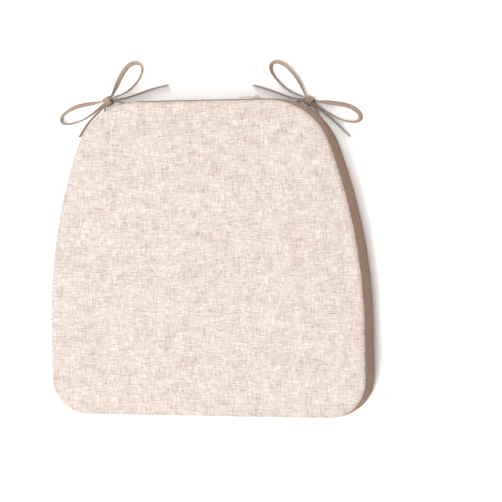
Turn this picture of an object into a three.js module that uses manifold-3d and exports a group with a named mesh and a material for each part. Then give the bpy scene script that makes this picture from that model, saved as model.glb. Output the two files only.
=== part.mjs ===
// A boxed seat pad for a kitchen chair: a foam core wrapped in wadding, in a sewn linen cover with a zip in
// its back and a pair of ties at each back corner, each pair tied in a bow that lies beside the pad.
// Millimetres, +Z up, front edge towards -Y. The pad lies on its underside, at z = 0.
import * as THREE from 'three';
import { mergeVertices } from 'three/addons/utils/BufferGeometryUtils.js';
import Module from 'manifold-3d';

const wasm = await Module();
wasm.setup();

// ---- driving dimensions --------------------------------------------------------------------------------
const padWidth = 432; // across the widest part, near the front
const padDepth = 411; // front edge to back edge
const padHeight = 50; // underside to the rim of the top
const crown = 4; // how far the middle of the top stands above its rim
const frontRadius = 50; // front corners
const backRadius = 90; // back corners
const sideRadius = 688; // the long sweep of each side towards the back
const sideTurn = THREE.MathUtils.degToRad(20.2); // how far that sweep turns before the back corner

const clothThickness = 1;
const seamDrop = 5; // from the rim and from the underside to each seam
const seamInset = 1.2; // how far the seams pull in from the bulge of the band
const edgeReach = 8; // how far in from the outline the rounded edges end
const gap = 0.3; // between pieces that lie against each other

const waddingThickness = 3;

const zipMargin = 7; // from each end of the opening in the back of the band to the start of the back corner
const zipWindow = 10; // slit between the two plackets
const tapeWidth = 11;
const tapeThickness = 0.8;
const coilWidth = 2.4;
const coilThickness = 1.8;
const coilSplit = 1.2; // between the two coils, where the slider's web runs
const stopLength = 2.4;
const sliderLength = 9;
const sliderHeight = 8;
const sliderPlate = 1;
const sliderWeb = 0.6;
const bridgeLength = 6;
const bridgeWidth = 1.6;
const bridgeBar = 0.9;
const pullLength = 24;
const pullWidth = 5.6;
const pullThickness = 1;
const pullSide = 1.4; // each limb of the pull's eye
const zipEndSpace = 8; // from the end of the opening to the resting slider

const tieWidth = 7;
const tieThickness = 1.5;
const tieSteps = 78;
const knotLength = 10.4;
const knotWall = 1.4;
const knotOpening = { across: 10, tall: 8.2 };
// Each knot's place by its back corner: stand-off from the pad's outline and turn from the back edge.
const rightKnot = { standOff: 7.4, turn: THREE.MathUtils.degToRad(27.7) };
const leftKnot = { standOff: 14.9, turn: THREE.MathUtils.degToRad(30.1) };
const bowTurn = THREE.MathUtils.degToRad(28); // lean of the bow's long axis

// Each tie's route from its seam: along the bow's axis, away from the pad, lift above lying on the
// surface, lean of the strap (0 flat, 90 on edge) and its width, which the knot squeezes.
const knotWidth = 3.4;
const seamEnd = 5;
const full = tieWidth;
const rightBackTie = [
  [-15.5, -8.6, 1.4, 90, seamEnd], [-12.0, -6.5, 1.4, 90, seamEnd], [-8.8, -4.9, 1.5, 90, 4.2],
  [-5.0, -3.0, 1.9, 90, knotWidth], [0, -1.0, 1.9, 90, knotWidth], [5.0, 0.9, 1.9, 90, knotWidth],
  [11, 0.0, 0.6, 90, 5.4], [21, -1.6, 0, 90, full], [36, -2.6, 0, 88, full], [49, -2.2, 0, 84, full],
  [60, 0.2, 0, 76, full], [68, 4.4, 0, 66, full], [71.2, 10.2, 0, 56, full], [67, 15.2, 0, 48, full],
  [58, 17.6, 0, 42, full], [48, 17.2, 0, 40, full], [36, 14.0, 0, 42, full], [22, 9.0, 0, 52, full],
  [12, 5.2, 0.6, 74, 5.4], [5.0, 2.9, 1.9, 90, knotWidth], [0, 1.0, 1.9, 90, knotWidth],
  [-5.0, -0.9, 1.9, 90, knotWidth], [-8.8, -2.5, 1.3, 90, 4.4], [-13, -4.2, 0.5, 90, 6],
  [-24.6, -7.6, 0, 90, full], [-40.9, -9.9, 0, 88, full], [-54.4, -11.9, 0, 86, full],
  [-66.6, -14.2, 0, 84, full], [-77.5, -16.8, 0, 82, full],
];
const rightSideTie = [
  [18.0, -8.9, 1.4, 90, seamEnd], [12.8, -6.0, 1.8, 90, 4.6], [9, -4.5, 3.6, 90, 4],
  [5.0, -2.9, 5.6, 90, knotWidth], [0, -1.0, 5.6, 90, knotWidth], [-5.0, 0.9, 5.6, 90, knotWidth],
  [-11, 0.6, 2.6, 90, 5.2], [-19, -0.2, 0.6, 90, full], [-30, -0.6, 0, 90, full], [-44.9, 2.2, 0, 86, full],
  [-57.5, 7.0, 0, 78, full], [-65.2, 12.9, 0, 68, full], [-67.2, 18.9, 0, 58, full],
  [-63.0, 24.2, 0, 50, full], [-54.2, 26.1, 0, 42, full], [-42.8, 24.0, 0, 40, full],
  [-30.2, 19.0, 0, 42, full], [-18, 11.6, 0.8, 56, full], [-10.5, 6.2, 3.2, 78, 5],
  [-5.0, 2.9, 5.6, 90, knotWidth], [0, 1.0, 5.6, 90, knotWidth], [5.0, -0.9, 5.6, 90, knotWidth],
  [9, -2.1, 3.4, 90, 4.4], [13.5, -3.2, 1.4, 90, 6], [25.9, -5.3, 0, 90, full], [38.3, -7.8, 0, 88, full],
  [50.9, -10.8, 0, 86, full], [69.4, -16.4, 0, 84, full],
];
const leftBackTie = [
  [-23.0, -16.7, 1.4, 90, seamEnd], [-16.5, -11.6, 1.4, 90, seamEnd], [-10.4, -6.4, 1.5, 90, 4.2],
  [-5.0, -3.0, 1.9, 90, knotWidth], [0, -1.0, 1.9, 90, knotWidth], [5.0, 0.9, 1.9, 90, knotWidth],
  [11, 0.0, 0.6, 90, 5.4], [20, -1.8, 0, 90, full], [30, -3.2, 0, 90, full], [42, -3.8, 0, 88, full],
  [54, -2.2, 0, 84, full], [65.8, 1.6, 0, 74, full], [73.0, 7.4, 0, 62, full], [71.6, 13.4, 0, 52, full],
  [61.7, 16.6, 0, 42, full], [46.6, 16.4, 0, 38, full], [33.7, 13.0, 0, 40, full], [20, 8.0, 0, 54, full],
  [12, 5.2, 0.6, 74, 5.4], [5.0, 2.9, 1.9, 90, knotWidth], [0, 1.0, 1.9, 90, knotWidth],
  [-5.0, -0.9, 1.9, 90, knotWidth], [-8.8, -2.5, 1.3, 90, 4.4], [-13, -4.2, 0.5, 90, 6],
  [-24, -8.0, 0, 90, full], [-41.6, -11.4, 0, 88, full], [-59.2, -14.9, 0, 86, full],
  [-71, -18.0, 0, 84, full], [-82.3, -21.8, 0, 82, full],
];
const leftSideTie = [
  [18.0, -17.35, 1.4, 90, seamEnd], [13.8, -12.4, 1.8, 90, 4.6], [9.8, -7.0, 3.6, 90, 4],
  [5.0, -2.9, 5.6, 90, knotWidth], [0, -1.0, 5.6, 90, knotWidth], [-5.0, 0.9, 5.6, 90, knotWidth],
  [-11, 0.4, 2.6, 90, 5.2], [-19, -0.8, 0.6, 90, full], [-31.6, -0.8, 0, 90, full], [-44.8, 2.6, 0, 88, full],
  [-54.9, 8.0, 0, 82, full], [-60.6, 14.6, 0, 72, full], [-61.4, 21.0, 0, 60, full],
  [-56.5, 26.0, 0, 48, full], [-47, 27.4, 0, 40, full], [-38, 24.8, 0, 38, full],
  [-27.5, 18.9, 0, 44, full], [-17.6, 11.8, 0.8, 56, full], [-10.5, 6.2, 3.2, 78, 5],
  [-5.0, 2.9, 5.6, 90, knotWidth], [0, 1.0, 5.6, 90, knotWidth], [5.0, -0.9, 5.6, 90, knotWidth],
  [9, -2.1, 3.4, 90, 4.4], [13.5, -3.4, 1.4, 90, 6], [24.4, -6.4, 0, 90, full], [36.9, -9.8, 0, 88, full],
  [47.9, -14.6, 0, 86, full], [60.3, -21.1, 0, 84, full],
];

// ---- worked out from the driving dimensions ------------------------------------------------------------
const backY = padDepth / 2;
const sideCentreX = padWidth / 2 - sideRadius;
const backCornerX = sideCentreX + (sideRadius - backRadius) * Math.cos(sideTurn);
const backCornerY = backY - backRadius;
const zipLength = 2 * (backCornerX - zipMargin);
const sideCentreY = backCornerY - (sideRadius - backRadius) * Math.sin(sideTurn);
const lowSeam = seamDrop;
const highSeam = padHeight - seamDrop;
const midHeight = (lowSeam + highSeam) / 2;
const tapeFace = backY - bandInset(midHeight + coilSplit / 2 + tapeWidth) - clothThickness - gap;
const tapeBack = tapeFace - tapeThickness; // inner face of the tapes
const coilFace = tapeFace + gap + coilThickness; // outer face of the coils
const foamInset = backY - (tapeBack - gap - sliderPlate) + 2 * gap; // clears the slider's inner plate

// ---- cloth shapes --------------------------------------------------------------------------------------

/** Points along an arc about (x, y), both end angles included. */
function arc(x, y, radius, from, to, parts) {
  return Array.from({ length: parts + 1 }, (_, i) => {
    const angle = from + ((to - from) * i) / parts;
    return new THREE.Vector2(x + radius * Math.cos(angle), y + radius * Math.sin(angle));
  });
}

/** The pad's plan moved in by an inset, from the left end of the back edge round the front to its right end. */
function plan(inset) {
  const quarter = Math.PI / 2;
  const frontY = -backY + frontRadius;
  const right = [
    ...arc(padWidth / 2 - frontRadius, frontY, frontRadius - inset, -quarter, 0, 8),
    ...arc(sideCentreX, sideCentreY, sideRadius - inset, 0, sideTurn, 8),
    ...arc(backCornerX, backCornerY, backRadius - inset, sideTurn, quarter, 7).slice(1),
  ];
  const left = right.map((p) => new THREE.Vector2(-p.x, p.y)).reverse();
  return [...left, ...right];
}

/** A closed body over rings of equal length, closed at its first and last ring by the given contour. */
function skin(rings, contour) {
  const count = rings[0].length;
  const index = [];
  for (let r = 0; r + 1 < rings.length; r += 1) {
    for (let p = 0; p < count; p += 1) {
      const a = r * count + p;
      const b = r * count + ((p + 1) % count);
      index.push(a, b, b + count, a, b + count, a + count);
    }
  }
  const last = (rings.length - 1) * count;
  const clockwise = THREE.ShapeUtils.isClockWise(contour);
  for (const corners of THREE.ShapeUtils.triangulateShape(contour, [])) {
    const [a, b, c] = clockwise ? corners.reverse() : corners;
    index.push(c, b, a, last + a, last + b, last + c);
  }
  const geometry = new THREE.BufferGeometry();
  geometry.setAttribute('position', new THREE.Float32BufferAttribute(rings.flat().flatMap((p) => [...p]), 3));
  geometry.setIndex(signedVolume(rings.flat(), index) < 0 ? index.reverse() : index);
  return geometry;
}

/** Six times the volume inside the triangles, negative where they face in. */
function signedVolume(points, index) {
  const cross = new THREE.Vector3();
  let total = 0;
  for (let i = 0; i < index.length; i += 3) {
    total += cross.crossVectors(points[index[i]], points[index[i + 1]]).dot(points[index[i + 2]]);
  }
  return total;
}

/** The inner side of a rounded edge: straight in at the seam, straight down or up at the face. */
function innerSide(section, thickness) {
  const rise = Math.sign(section.at(-1)[1] - section[0][1]);
  return section.map(([inset, z], i) => {
    const angle = edgeRows[i] * Math.PI / 2;
    return [inset + Math.cos(angle) * thickness, z - rise * Math.sin(angle) * thickness];
  });
}

/** A ring of the plan at an inset and height, shrunk about the middle. */
function ring(inset, z, scale = 1) {
  return plan(inset).map((p) => new THREE.Vector3(p.x * scale, p.y * scale, z));
}

const edgeRows = [0, 0.34, 0.62, 0.84, 1]; // how far round the rounded edge each row of points lies

/** The rounded edge from a seam to a face, as [inset, height], for the seam's and the face's heights. */
function roundedEdge(seamZ, faceZ) {
  return edgeRows.map((share) => {
    const angle = share * Math.PI / 2;
    const inset = seamInset + (edgeReach - seamInset) * (1 - Math.cos(angle));
    return [inset, seamZ + (faceZ - seamZ) * Math.sin(angle)];
  });
}

const crownScales = [0.85, 0.6, 0.3, 0.08];

/** Rings over the domed middle of a face, at a depth below the outer cloth. */
function domeRings(faceZ, depth) {
  return crownScales.map((s) => ring(edgeReach, faceZ + crown * (1 - s * s) - depth, s));
}

/** The D-shaped top of the cover, turned down to the upper seam. */
function topPanel() {
  const outer = roundedEdge(highSeam + gap / 2, padHeight);
  const inner = innerSide(outer, clothThickness);
  const rings = [
    ...domeRings(padHeight, 0).reverse(),
    ...outer.map(([inset, z]) => ring(inset, z)).reverse(),
    ...inner.map(([inset, z]) => ring(inset, z)),
    ...domeRings(padHeight, clothThickness),
  ];
  return skin(rings, plan(edgeReach));
}

/** The flat underside of the cover, turned up to the lower seam. */
function bottomPanel() {
  const outer = roundedEdge(lowSeam - gap / 2, 0);
  const inner = innerSide(outer, clothThickness);
  const rings = [
    ...outer.map(([inset, z]) => ring(inset, z)).reverse(),
    ...inner.map(([inset, z]) => ring(inset, z)),
  ];
  return skin(rings, plan(edgeReach));
}

/** How far the band pulls in from its bulge at a height. */
function bandInset(z) {
  const share = (z - midHeight) / (highSeam - midHeight);
  return seamInset * share * share;
}

/** The band's section between two heights, as a closed run of [inset, height] points. */
function bandSection(fromZ, toZ, thickness, depth = 0) {
  const rows = 4;
  const outer = Array.from({ length: rows + 1 }, (_, i) => {
    const z = fromZ + ((toZ - fromZ) * i) / rows;
    return [bandInset(z) + depth, z];
  });
  const inner = outer.map(([inset, z]) => [inset + thickness, z]).reverse();
  return [...outer, ...inner];
}

/** A section carried round the front and sides, with both ends on the back edge. */
function stripRoundFront(section, endX) {
  const runs = section.map(([inset]) => {
    const y = backY - inset;
    return [new THREE.Vector2(-endX, y), ...plan(inset), new THREE.Vector2(endX, y)];
  });
  const rings = runs[0].map((_, i) => section.map(([, z], s) => new THREE.Vector3(runs[s][i].x, runs[s][i].y, z)));
  return skin(rings, section.map(([inset, z]) => new THREE.Vector2(inset, z)));
}

/** A section carried straight along the back edge. */
function stripAlongBack(section, halfLength) {
  const rings = [-halfLength, halfLength].map((x) => section.map(([inset, z]) => new THREE.Vector3(x, backY - inset, z)));
  return skin(rings, section.map(([inset, z]) => new THREE.Vector2(inset, z)));
}

// ---- filling -------------------------------------------------------------------------------------------

const liningDepth = clothThickness + gap; // outer face of the wadding below the cover's outer face
const foamTop = padHeight - liningDepth - waddingThickness - gap;
const foamBottom = liningDepth + waddingThickness + gap;

/** The foam block, domed with the cover's top. */
function foamCore() {
  const dome = crownScales.map((s) => ring(edgeReach, foamTop + crown * (1 - s * s), s));
  const wallTop = ring(foamInset, foamTop - edgeReach / 2);
  const wallBottom = ring(foamInset, foamBottom + edgeReach / 2);
  const rings = [ring(edgeReach, foamBottom), wallBottom, wallTop, ring(edgeReach, foamTop), ...dome];
  return skin(rings, plan(edgeReach));
}

/** A sheet of wadding over the foam's top. */
function waddingTop() {
  const lowFace = foamTop + gap;
  const highFace = lowFace + waddingThickness;
  const rings = [
    ...domeRings(highFace, 0).reverse(),
    ring(edgeReach, highFace),
    ring(edgeReach, lowFace),
    ...domeRings(lowFace, 0),
  ];
  return skin(rings, plan(edgeReach));
}

/** A flat sheet of wadding under the foam. */
function waddingBottom() {
  return skin([ring(edgeReach, liningDepth), ring(edgeReach, foamBottom - gap)], plan(edgeReach));
}

/** The strip of wadding between the foam and the band, open where the zip is. */
function waddingSide() {
  const thickness = foamInset - liningDepth - seamInset - gap;
  const edge = edgeReach / 2;
  const section = bandSection(lowSeam + edge, highSeam - edge, thickness, liningDepth);
  return stripRoundFront(section.map(([inset, z]) => [Math.min(inset, foamInset - gap), z]), zipLength / 2 + gap);
}

// ---- zip -----------------------------------------------------------------------------------------------

/** A box between two corners. */
function block(from, to) {
  const geometry = new THREE.BoxGeometry(to[0] - from[0], to[1] - from[1], to[2] - from[2]);
  return geometry.translate((from[0] + to[0]) / 2, (from[1] + to[1]) / 2, (from[2] + to[2]) / 2);
}

/** Turns a closed geometry into a solid for joining. */
function toSolid(geometry) {
  const bare = geometry.clone();
  bare.deleteAttribute('normal');
  bare.deleteAttribute('uv');
  const merged = mergeVertices(bare, 1e-4);
  return new wasm.Manifold(new wasm.Mesh({
    numProp: 3,
    vertProperties: merged.attributes.position.array,
    triVerts: Uint32Array.from(merged.index.array),
  }));
}

/** Joins boxes that share material into one body. */
function joined(boxes) {
  const mesh = boxes.map(toSolid).reduce((all, next) => all.add(next)).getMesh();
  const geometry = new THREE.BufferGeometry();
  geometry.setAttribute('position', new THREE.BufferAttribute(mesh.vertProperties, 3));
  geometry.setIndex(new THREE.BufferAttribute(mesh.triVerts, 1));
  return geometry;
}

const sliderX = zipLength / 2 - zipEndSpace - sliderLength / 2;
const pivotY = coilFace + gap + sliderPlate + gap + pullThickness / 2;

/** One edge of woven zip tape behind its placket; side is 1 above the chain and -1 below it. */
function zipTape(side) {
  const half = zipLength / 2 - gap;
  const near = midHeight + side * (coilSplit / 2);
  const far = midHeight + side * (coilSplit / 2 + tapeWidth);
  return block([-half, tapeBack, Math.min(near, far)], [half, tapeFace, Math.max(near, far)]);
}

/** One row of zip coil, a rounded strip on the face of its tape. */
function zipCoil(side) {
  const half = zipLength / 2 - stopLength - 2 * gap;
  const corner = coilThickness / 3;
  const w = coilWidth / 2;
  const t = coilThickness / 2;
  const section = new THREE.Shape([
    [-w, -t], [w, -t], [w, t - corner], [w - corner, t], [corner - w, t], [-w, t - corner],
  ].map(([z, y]) => new THREE.Vector2(-z, y)));
  const strip = new THREE.ExtrudeGeometry(section, { depth: 2 * half, bevelEnabled: false });
  strip.translate(0, 0, -half).rotateY(Math.PI / 2);
  const z = midHeight + side * (coilSplit + coilWidth) / 2;
  return strip.translate(0, coilFace - coilThickness / 2, z);
}

/** A metal stop clamped over both coils' ends; end is 1 at the right and -1 at the left. */
function zipStop(end) {
  const outer = end * (zipLength / 2 - gap);
  const inner = end * (zipLength / 2 - gap - stopLength);
  const half = coilSplit / 2 + coilWidth;
  const low = tapeFace + gap;
  return block([Math.min(outer, inner), low, midHeight - half], [Math.max(outer, inner), coilFace, midHeight + half]);
}

/** The slider: a plate each side of the chain, a web between the coils and a bridge for the pull. */
function zipSlider() {
  const x0 = sliderX - sliderLength / 2;
  const x1 = sliderX + sliderLength / 2;
  const halfTall = sliderHeight / 2;
  const innerFace = tapeBack - gap;
  const outerFace = coilFace + gap;
  const plateTop = outerFace + sliderPlate;
  const barLow = pivotY + pullThickness / 2 + 2 * gap;
  const barHigh = barLow + bridgeBar;
  const bridge = bridgeLength / 2;
  const post = bridgeBar;
  const z0 = midHeight - bridgeWidth / 2;
  const z1 = midHeight + bridgeWidth / 2;
  return joined([
    block([x0, innerFace - sliderPlate, midHeight - halfTall], [x1, innerFace, midHeight + halfTall]),
    block([x0, outerFace, midHeight - halfTall], [x1, plateTop, midHeight + halfTall]),
    block([x0, innerFace - sliderPlate / 2, midHeight - sliderWeb / 2],
      [x1, outerFace + sliderPlate / 2, midHeight + sliderWeb / 2]),
    block([sliderX - bridge, plateTop - sliderPlate / 2, z0], [sliderX - bridge + post, barHigh, z1]),
    block([sliderX + bridge - post, plateTop - sliderPlate / 2, z0], [sliderX + bridge, barHigh, z1]),
    block([sliderX - bridge, barLow, z0], [sliderX + bridge, barHigh, z1]),
  ]);
}

/** The pull: an eye round the slider's bridge and a flat tab, lying along the zip. */
function zipPull() {
  const y0 = pivotY - pullThickness / 2;
  const y1 = pivotY + pullThickness / 2;
  const halfTall = pullWidth / 2;
  const eye = halfTall - pullSide;
  const bar = pullThickness / 2;
  const eyeEnd = sliderX - bridgeLength / 2 - 2 * gap;
  return joined([
    block([sliderX - bar, y0, midHeight - halfTall], [sliderX + bar, y1, midHeight + halfTall]),
    block([eyeEnd - bar, y0, midHeight - halfTall], [sliderX + bar, y1, midHeight - eye]),
    block([eyeEnd - bar, y0, midHeight + eye], [sliderX + bar, y1, midHeight + halfTall]),
    block([sliderX - pullLength, y0, midHeight - halfTall], [eyeEnd, y1, midHeight + halfTall]),
  ]);
}

// ---- ties ----------------------------------------------------------------------------------------------

const knotHigh = knotOpening.tall / 2 + knotWall + gap; // height of the knot's centre

/** Maps a place in a bow (along its axis, away from the pad, up) to the pad's frame; side is 1 at the right. */
function fromBow(side, along, out, up) {
  const { standOff, turn } = side > 0 ? rightKnot : leftKnot;
  const reach = backRadius + standOff;
  const x = backCornerX + reach * Math.sin(turn) + along * Math.cos(bowTurn) + out * Math.sin(bowTurn);
  const y = backCornerY + reach * Math.cos(turn) - along * Math.sin(bowTurn) + out * Math.cos(bowTurn);
  return new THREE.Vector3(side * x, y, up);
}

/** The strap's centre line with its lean and width, read by share of its length. */
function tieRoute(side, route) {
  const half = tieThickness / 2;
  const curve = new THREE.CatmullRomCurve3(route.map(([along, out, lift, lean, width]) => {
    const angle = THREE.MathUtils.degToRad(lean);
    const lying = gap + (width / 2) * Math.sin(angle) + half * Math.cos(angle);
    return fromBow(side, along, out, lying + lift);
  }), false, 'centripetal');
  curve.arcLengthDivisions = 1200;
  const between = (share, column) => {
    const at = curve.getUtoTmapping(share) * (route.length - 1);
    const i = Math.min(Math.floor(at), route.length - 2);
    return THREE.MathUtils.lerp(route[i][column], route[i + 1][column], at - i);
  };
  return { curve, lean: (share) => between(share, 3), width: (share) => between(share, 4) };
}

/** A flat strap laid along its route: a straight one is drawn out first, then each point is carried over. */
function tie(side, route) {
  const { curve, lean, width } = tieRoute(side, route);
  const w = 0.5;
  const t = tieThickness / 2;
  const bevel = 0.3;
  const section = new THREE.Shape([
    [-w, -t * bevel], [-w * 0.9, -t], [w * 0.9, -t], [w, -t * bevel],
    [w, t * bevel], [w * 0.9, t], [-w * 0.9, t], [-w, t * bevel],
  ].map(([x, y]) => new THREE.Vector2(x, y)));
  const strap = new THREE.ExtrudeGeometry(section, { depth: 1, steps: tieSteps, bevelEnabled: false });
  strap.deleteAttribute('normal');
  strap.deleteAttribute('uv');
  const position = strap.attributes.position;
  const up = new THREE.Vector3(0, 0, 1);
  for (let i = 0; i < position.count; i += 1) {
    const share = Math.round(position.getZ(i) * tieSteps) / tieSteps;
    const centre = curve.getPointAt(share);
    const along = curve.getTangentAt(share);
    const level = new THREE.Vector3().crossVectors(up, along).normalize().multiplyScalar(side);
    const across = level.clone().applyAxisAngle(along, side * THREE.MathUtils.degToRad(lean(share)));
    const through = new THREE.Vector3().crossVectors(along, across);
    centre.addScaledVector(across, position.getX(i) * width(share));
    centre.addScaledVector(through, position.getY(i));
    position.setXYZ(i, centre.x, centre.y, centre.z);
  }
  return closed(strap);
}

/** Merges shared corners and turns the faces out. */
function closed(geometry) {
  const merged = mergeVertices(geometry, 1e-4);
  const points = [];
  for (let i = 0; i < merged.attributes.position.count; i += 1) {
    points.push(new THREE.Vector3().fromBufferAttribute(merged.attributes.position, i));
  }
  const index = [...merged.index.array];
  merged.setIndex(signedVolume(points, index) < 0 ? index.reverse() : index);
  return merged;
}

/** Draws a rectangle with round corners into a shape or a hole. */
function roundedRectangle(path, halfWide, halfTall, radius) {
  path.moveTo(halfWide, radius - halfTall);
  path.lineTo(halfWide, halfTall - radius);
  path.absarc(halfWide - radius, halfTall - radius, radius, 0, Math.PI / 2);
  path.absarc(radius - halfWide, halfTall - radius, radius, Math.PI / 2, Math.PI);
  path.absarc(radius - halfWide, radius - halfTall, radius, Math.PI, 1.5 * Math.PI);
  path.absarc(halfWide - radius, radius - halfTall, radius, 1.5 * Math.PI, 2 * Math.PI);
  return path;
}

/** The turns of strap that hold a bow, as one ring round its four passes. */
function knot(side) {
  const halfWide = knotOpening.across / 2;
  const halfTall = knotOpening.tall / 2;
  const outside = roundedRectangle(new THREE.Shape(), halfWide + knotWall, halfTall + knotWall, 3.4);
  outside.holes.push(roundedRectangle(new THREE.Path(), halfWide, halfTall, 2));
  const band = new THREE.ExtrudeGeometry(outside, { depth: knotLength, bevelEnabled: false, curveSegments: 4 });
  band.deleteAttribute('normal');
  band.deleteAttribute('uv');
  const position = band.attributes.position;
  for (let i = 0; i < position.count; i += 1) {
    const along = position.getZ(i) - knotLength / 2;
    const p = fromBow(side, along, position.getX(i), knotHigh + position.getY(i));
    position.setXYZ(i, p.x, p.y, p.z);
  }
  return closed(band);
}

// ---- assembly ------------------------------------------------------------------------------------------

const linen = { color: 0xe6d9cd, roughness: 0.95, metalness: 0 };
const bandLinen = { color: 0xd2bfae, roughness: 0.95, metalness: 0 };
const tieLinen = { color: 0xb39c86, roughness: 0.9, metalness: 0 };
const whiteFibre = { color: 0xf4f2ec, roughness: 1, metalness: 0 };
const foam = { color: 0xf3ecd2, roughness: 1, metalness: 0 };
const nylon = { color: 0xd9cbbb, roughness: 0.6, metalness: 0 };
const nickel = { color: 0xb9b4ab, roughness: 0.35, metalness: 1 };

const placketEdge = zipWindow / 2;
const placketHalf = zipLength / 2 - gap / 2;
const lowPlacket = bandSection(lowSeam + gap / 2, midHeight - placketEdge, clothThickness);
const highPlacket = bandSection(midHeight + placketEdge, highSeam - gap / 2, clothThickness);
const band = bandSection(lowSeam + gap / 2, highSeam - gap / 2, clothThickness);

const pieces = [
  ['foam_core', foamCore(), foam],
  ['wadding_top', waddingTop(), whiteFibre],
  ['wadding_bottom', waddingBottom(), whiteFibre],
  ['wadding_side', waddingSide(), whiteFibre],
  ['top_panel', topPanel(), linen],
  ['bottom_panel', bottomPanel(), linen],
  ['side_band', stripRoundFront(band, zipLength / 2 + gap / 2), bandLinen],
  ['back_placket_lower', stripAlongBack(lowPlacket, placketHalf), bandLinen],
  ['back_placket_upper', stripAlongBack(highPlacket, placketHalf), bandLinen],
  ['zip_tape_lower', zipTape(-1), nylon],
  ['zip_tape_upper', zipTape(1), nylon],
  ['zip_coil_lower', zipCoil(-1), nylon],
  ['zip_coil_upper', zipCoil(1), nylon],
  ['zip_stop_left', zipStop(-1), nickel],
  ['zip_stop_right', zipStop(1), nickel],
  ['zip_slider', zipSlider(), nickel],
  ['zip_pull', zipPull(), nickel],
  ['right_back_tie', tie(1, rightBackTie), tieLinen],
  ['right_side_tie', tie(1, rightSideTie), tieLinen],
  ['right_knot', knot(1), tieLinen],
  ['left_back_tie', tie(-1, leftBackTie), tieLinen],
  ['left_side_tie', tie(-1, leftSideTie), tieLinen],
  ['left_knot', knot(-1), tieLinen],
];

const seatPad = new THREE.Group();
for (const [name, geometry, finish] of pieces) {
  const mesh = new THREE.Mesh(geometry, new THREE.MeshStandardMaterial(finish));
  mesh.name = name;
  seatPad.add(mesh);
}

export default seatPad;
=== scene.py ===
# A linen seat pad with a zipped back and a bow of ties at each back corner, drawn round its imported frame.
# Metres, +Z up, front edge towards -Y, the pad lying on z = 0.
import math

import bmesh
import bpy
import numpy as np
from mathutils import Matrix, Vector, noise


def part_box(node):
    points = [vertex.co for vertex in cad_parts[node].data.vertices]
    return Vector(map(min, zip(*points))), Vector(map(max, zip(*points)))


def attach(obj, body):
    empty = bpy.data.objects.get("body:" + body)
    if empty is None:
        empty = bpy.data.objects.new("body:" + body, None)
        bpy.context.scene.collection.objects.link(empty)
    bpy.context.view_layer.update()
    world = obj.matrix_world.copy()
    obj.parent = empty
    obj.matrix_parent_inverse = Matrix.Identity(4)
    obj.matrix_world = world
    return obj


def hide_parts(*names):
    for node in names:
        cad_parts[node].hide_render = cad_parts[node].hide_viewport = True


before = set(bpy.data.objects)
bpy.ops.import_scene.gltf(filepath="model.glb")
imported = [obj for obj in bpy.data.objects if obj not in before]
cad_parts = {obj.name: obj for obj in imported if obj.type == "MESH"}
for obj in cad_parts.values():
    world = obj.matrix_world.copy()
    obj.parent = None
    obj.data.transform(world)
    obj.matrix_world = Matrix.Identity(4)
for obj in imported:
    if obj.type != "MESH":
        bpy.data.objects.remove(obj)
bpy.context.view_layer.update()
print("frame loaded")

view = {
    "distance": 3.5,
    "target": (0.0580, 0.0089, 0.025),
    "toTheRight": 18.0,  # degrees from straight above
    "toTheBack": 2.96,
    "roll": 1.10,
    "lens": 193.9,
}


def makeCamera():
    data = bpy.data.cameras.new("camera")
    data.lens = view["lens"]
    data.clip_end = 20
    camera = bpy.data.objects.new("camera", data)
    bpy.context.collection.objects.link(camera)
    turn = (
        Matrix.Rotation(math.radians(view["toTheRight"]), 3, "Y")
        @ Matrix.Rotation(math.radians(-view["toTheBack"]), 3, "X")
        @ Matrix.Rotation(math.radians(-view["roll"]), 3, "Z")
    )
    place = Vector(view["target"]) + turn @ Vector((0, 0, view["distance"]))
    camera.matrix_world = Matrix.Translation(place) @ turn.to_4x4()
    bpy.context.scene.camera = camera


makeCamera()
print("camera placed")


class Wire:
    # an output socket in a material; sums on it add Math nodes
    def __init__(self, tree, socket=None):
        self.tree = tree
        self.socket = socket

    def node(self, kind, settings=None, sockets=None, out=0):
        made = self.tree.nodes.new("ShaderNode" + kind)
        for name, value in (settings or {}).items():
            if name == "stops":
                self.setStops(made.color_ramp, value)
            else:
                setattr(made, name, value)
        for name, value in (sockets or {}).items():
            socket = made.inputs[name]
            if isinstance(value, Wire):
                self.tree.links.new(value.socket, socket)
            elif socket.type == "RGBA":
                socket.default_value = (*value, 1)
            else:
                socket.default_value = value
        return Wire(self.tree, made.outputs[out] if made.outputs else None)

    def setStops(self, ramp, stops):
        while len(ramp.elements) < len(stops):
            ramp.elements.new(0.5)
        for element, (place, colour) in zip(ramp.elements, stops):
            element.position = place
            element.color = (*colour, 1)

    def maths(self, operation, *values):
        return self.node("Math", {"operation": operation}, dict(enumerate(values)))

    def __add__(self, other):
        return self.maths("ADD", self, other)

    def __sub__(self, other):
        return self.maths("SUBTRACT", self, other)

    def __mul__(self, other):
        return self.maths("MULTIPLY", self, other)

    def __truediv__(self, other):
        return self.maths("DIVIDE", self, other)

    def __pow__(self, other):
        return self.maths("POWER", self, other)

    def __rsub__(self, other):
        return self.maths("SUBTRACT", other, self)

    def __rtruediv__(self, other):
        return self.maths("DIVIDE", other, self)

    def __rpow__(self, other):
        return self.maths("POWER", other, self)

    __radd__ = __add__
    __rmul__ = __mul__

    def floor(self):
        return self.maths("FLOOR", self)

    def fraction(self):
        return self.maths("FRACT", self)

    def within(self, low, high):
        # 0 below low, 1 above high, smooth between
        settings = {"interpolation_type": "SMOOTHSTEP"}
        return self.node("MapRange", settings, {"Value": self, "From Min": low, "From Max": high})

    def blend(self, other, share):
        return self.node("Mix", {"data_type": "FLOAT"}, {0: share, 2: self, 3: other})

    def tint(self, other, share):
        return self.node("Mix", {"data_type": "RGBA"}, {0: share, 6: self, 7: other}, 2)


def newMaterial(name):
    material = bpy.data.materials.new(name)
    material.use_nodes = True
    material.node_tree.nodes.clear()
    return material, Wire(material.node_tree)


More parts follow.
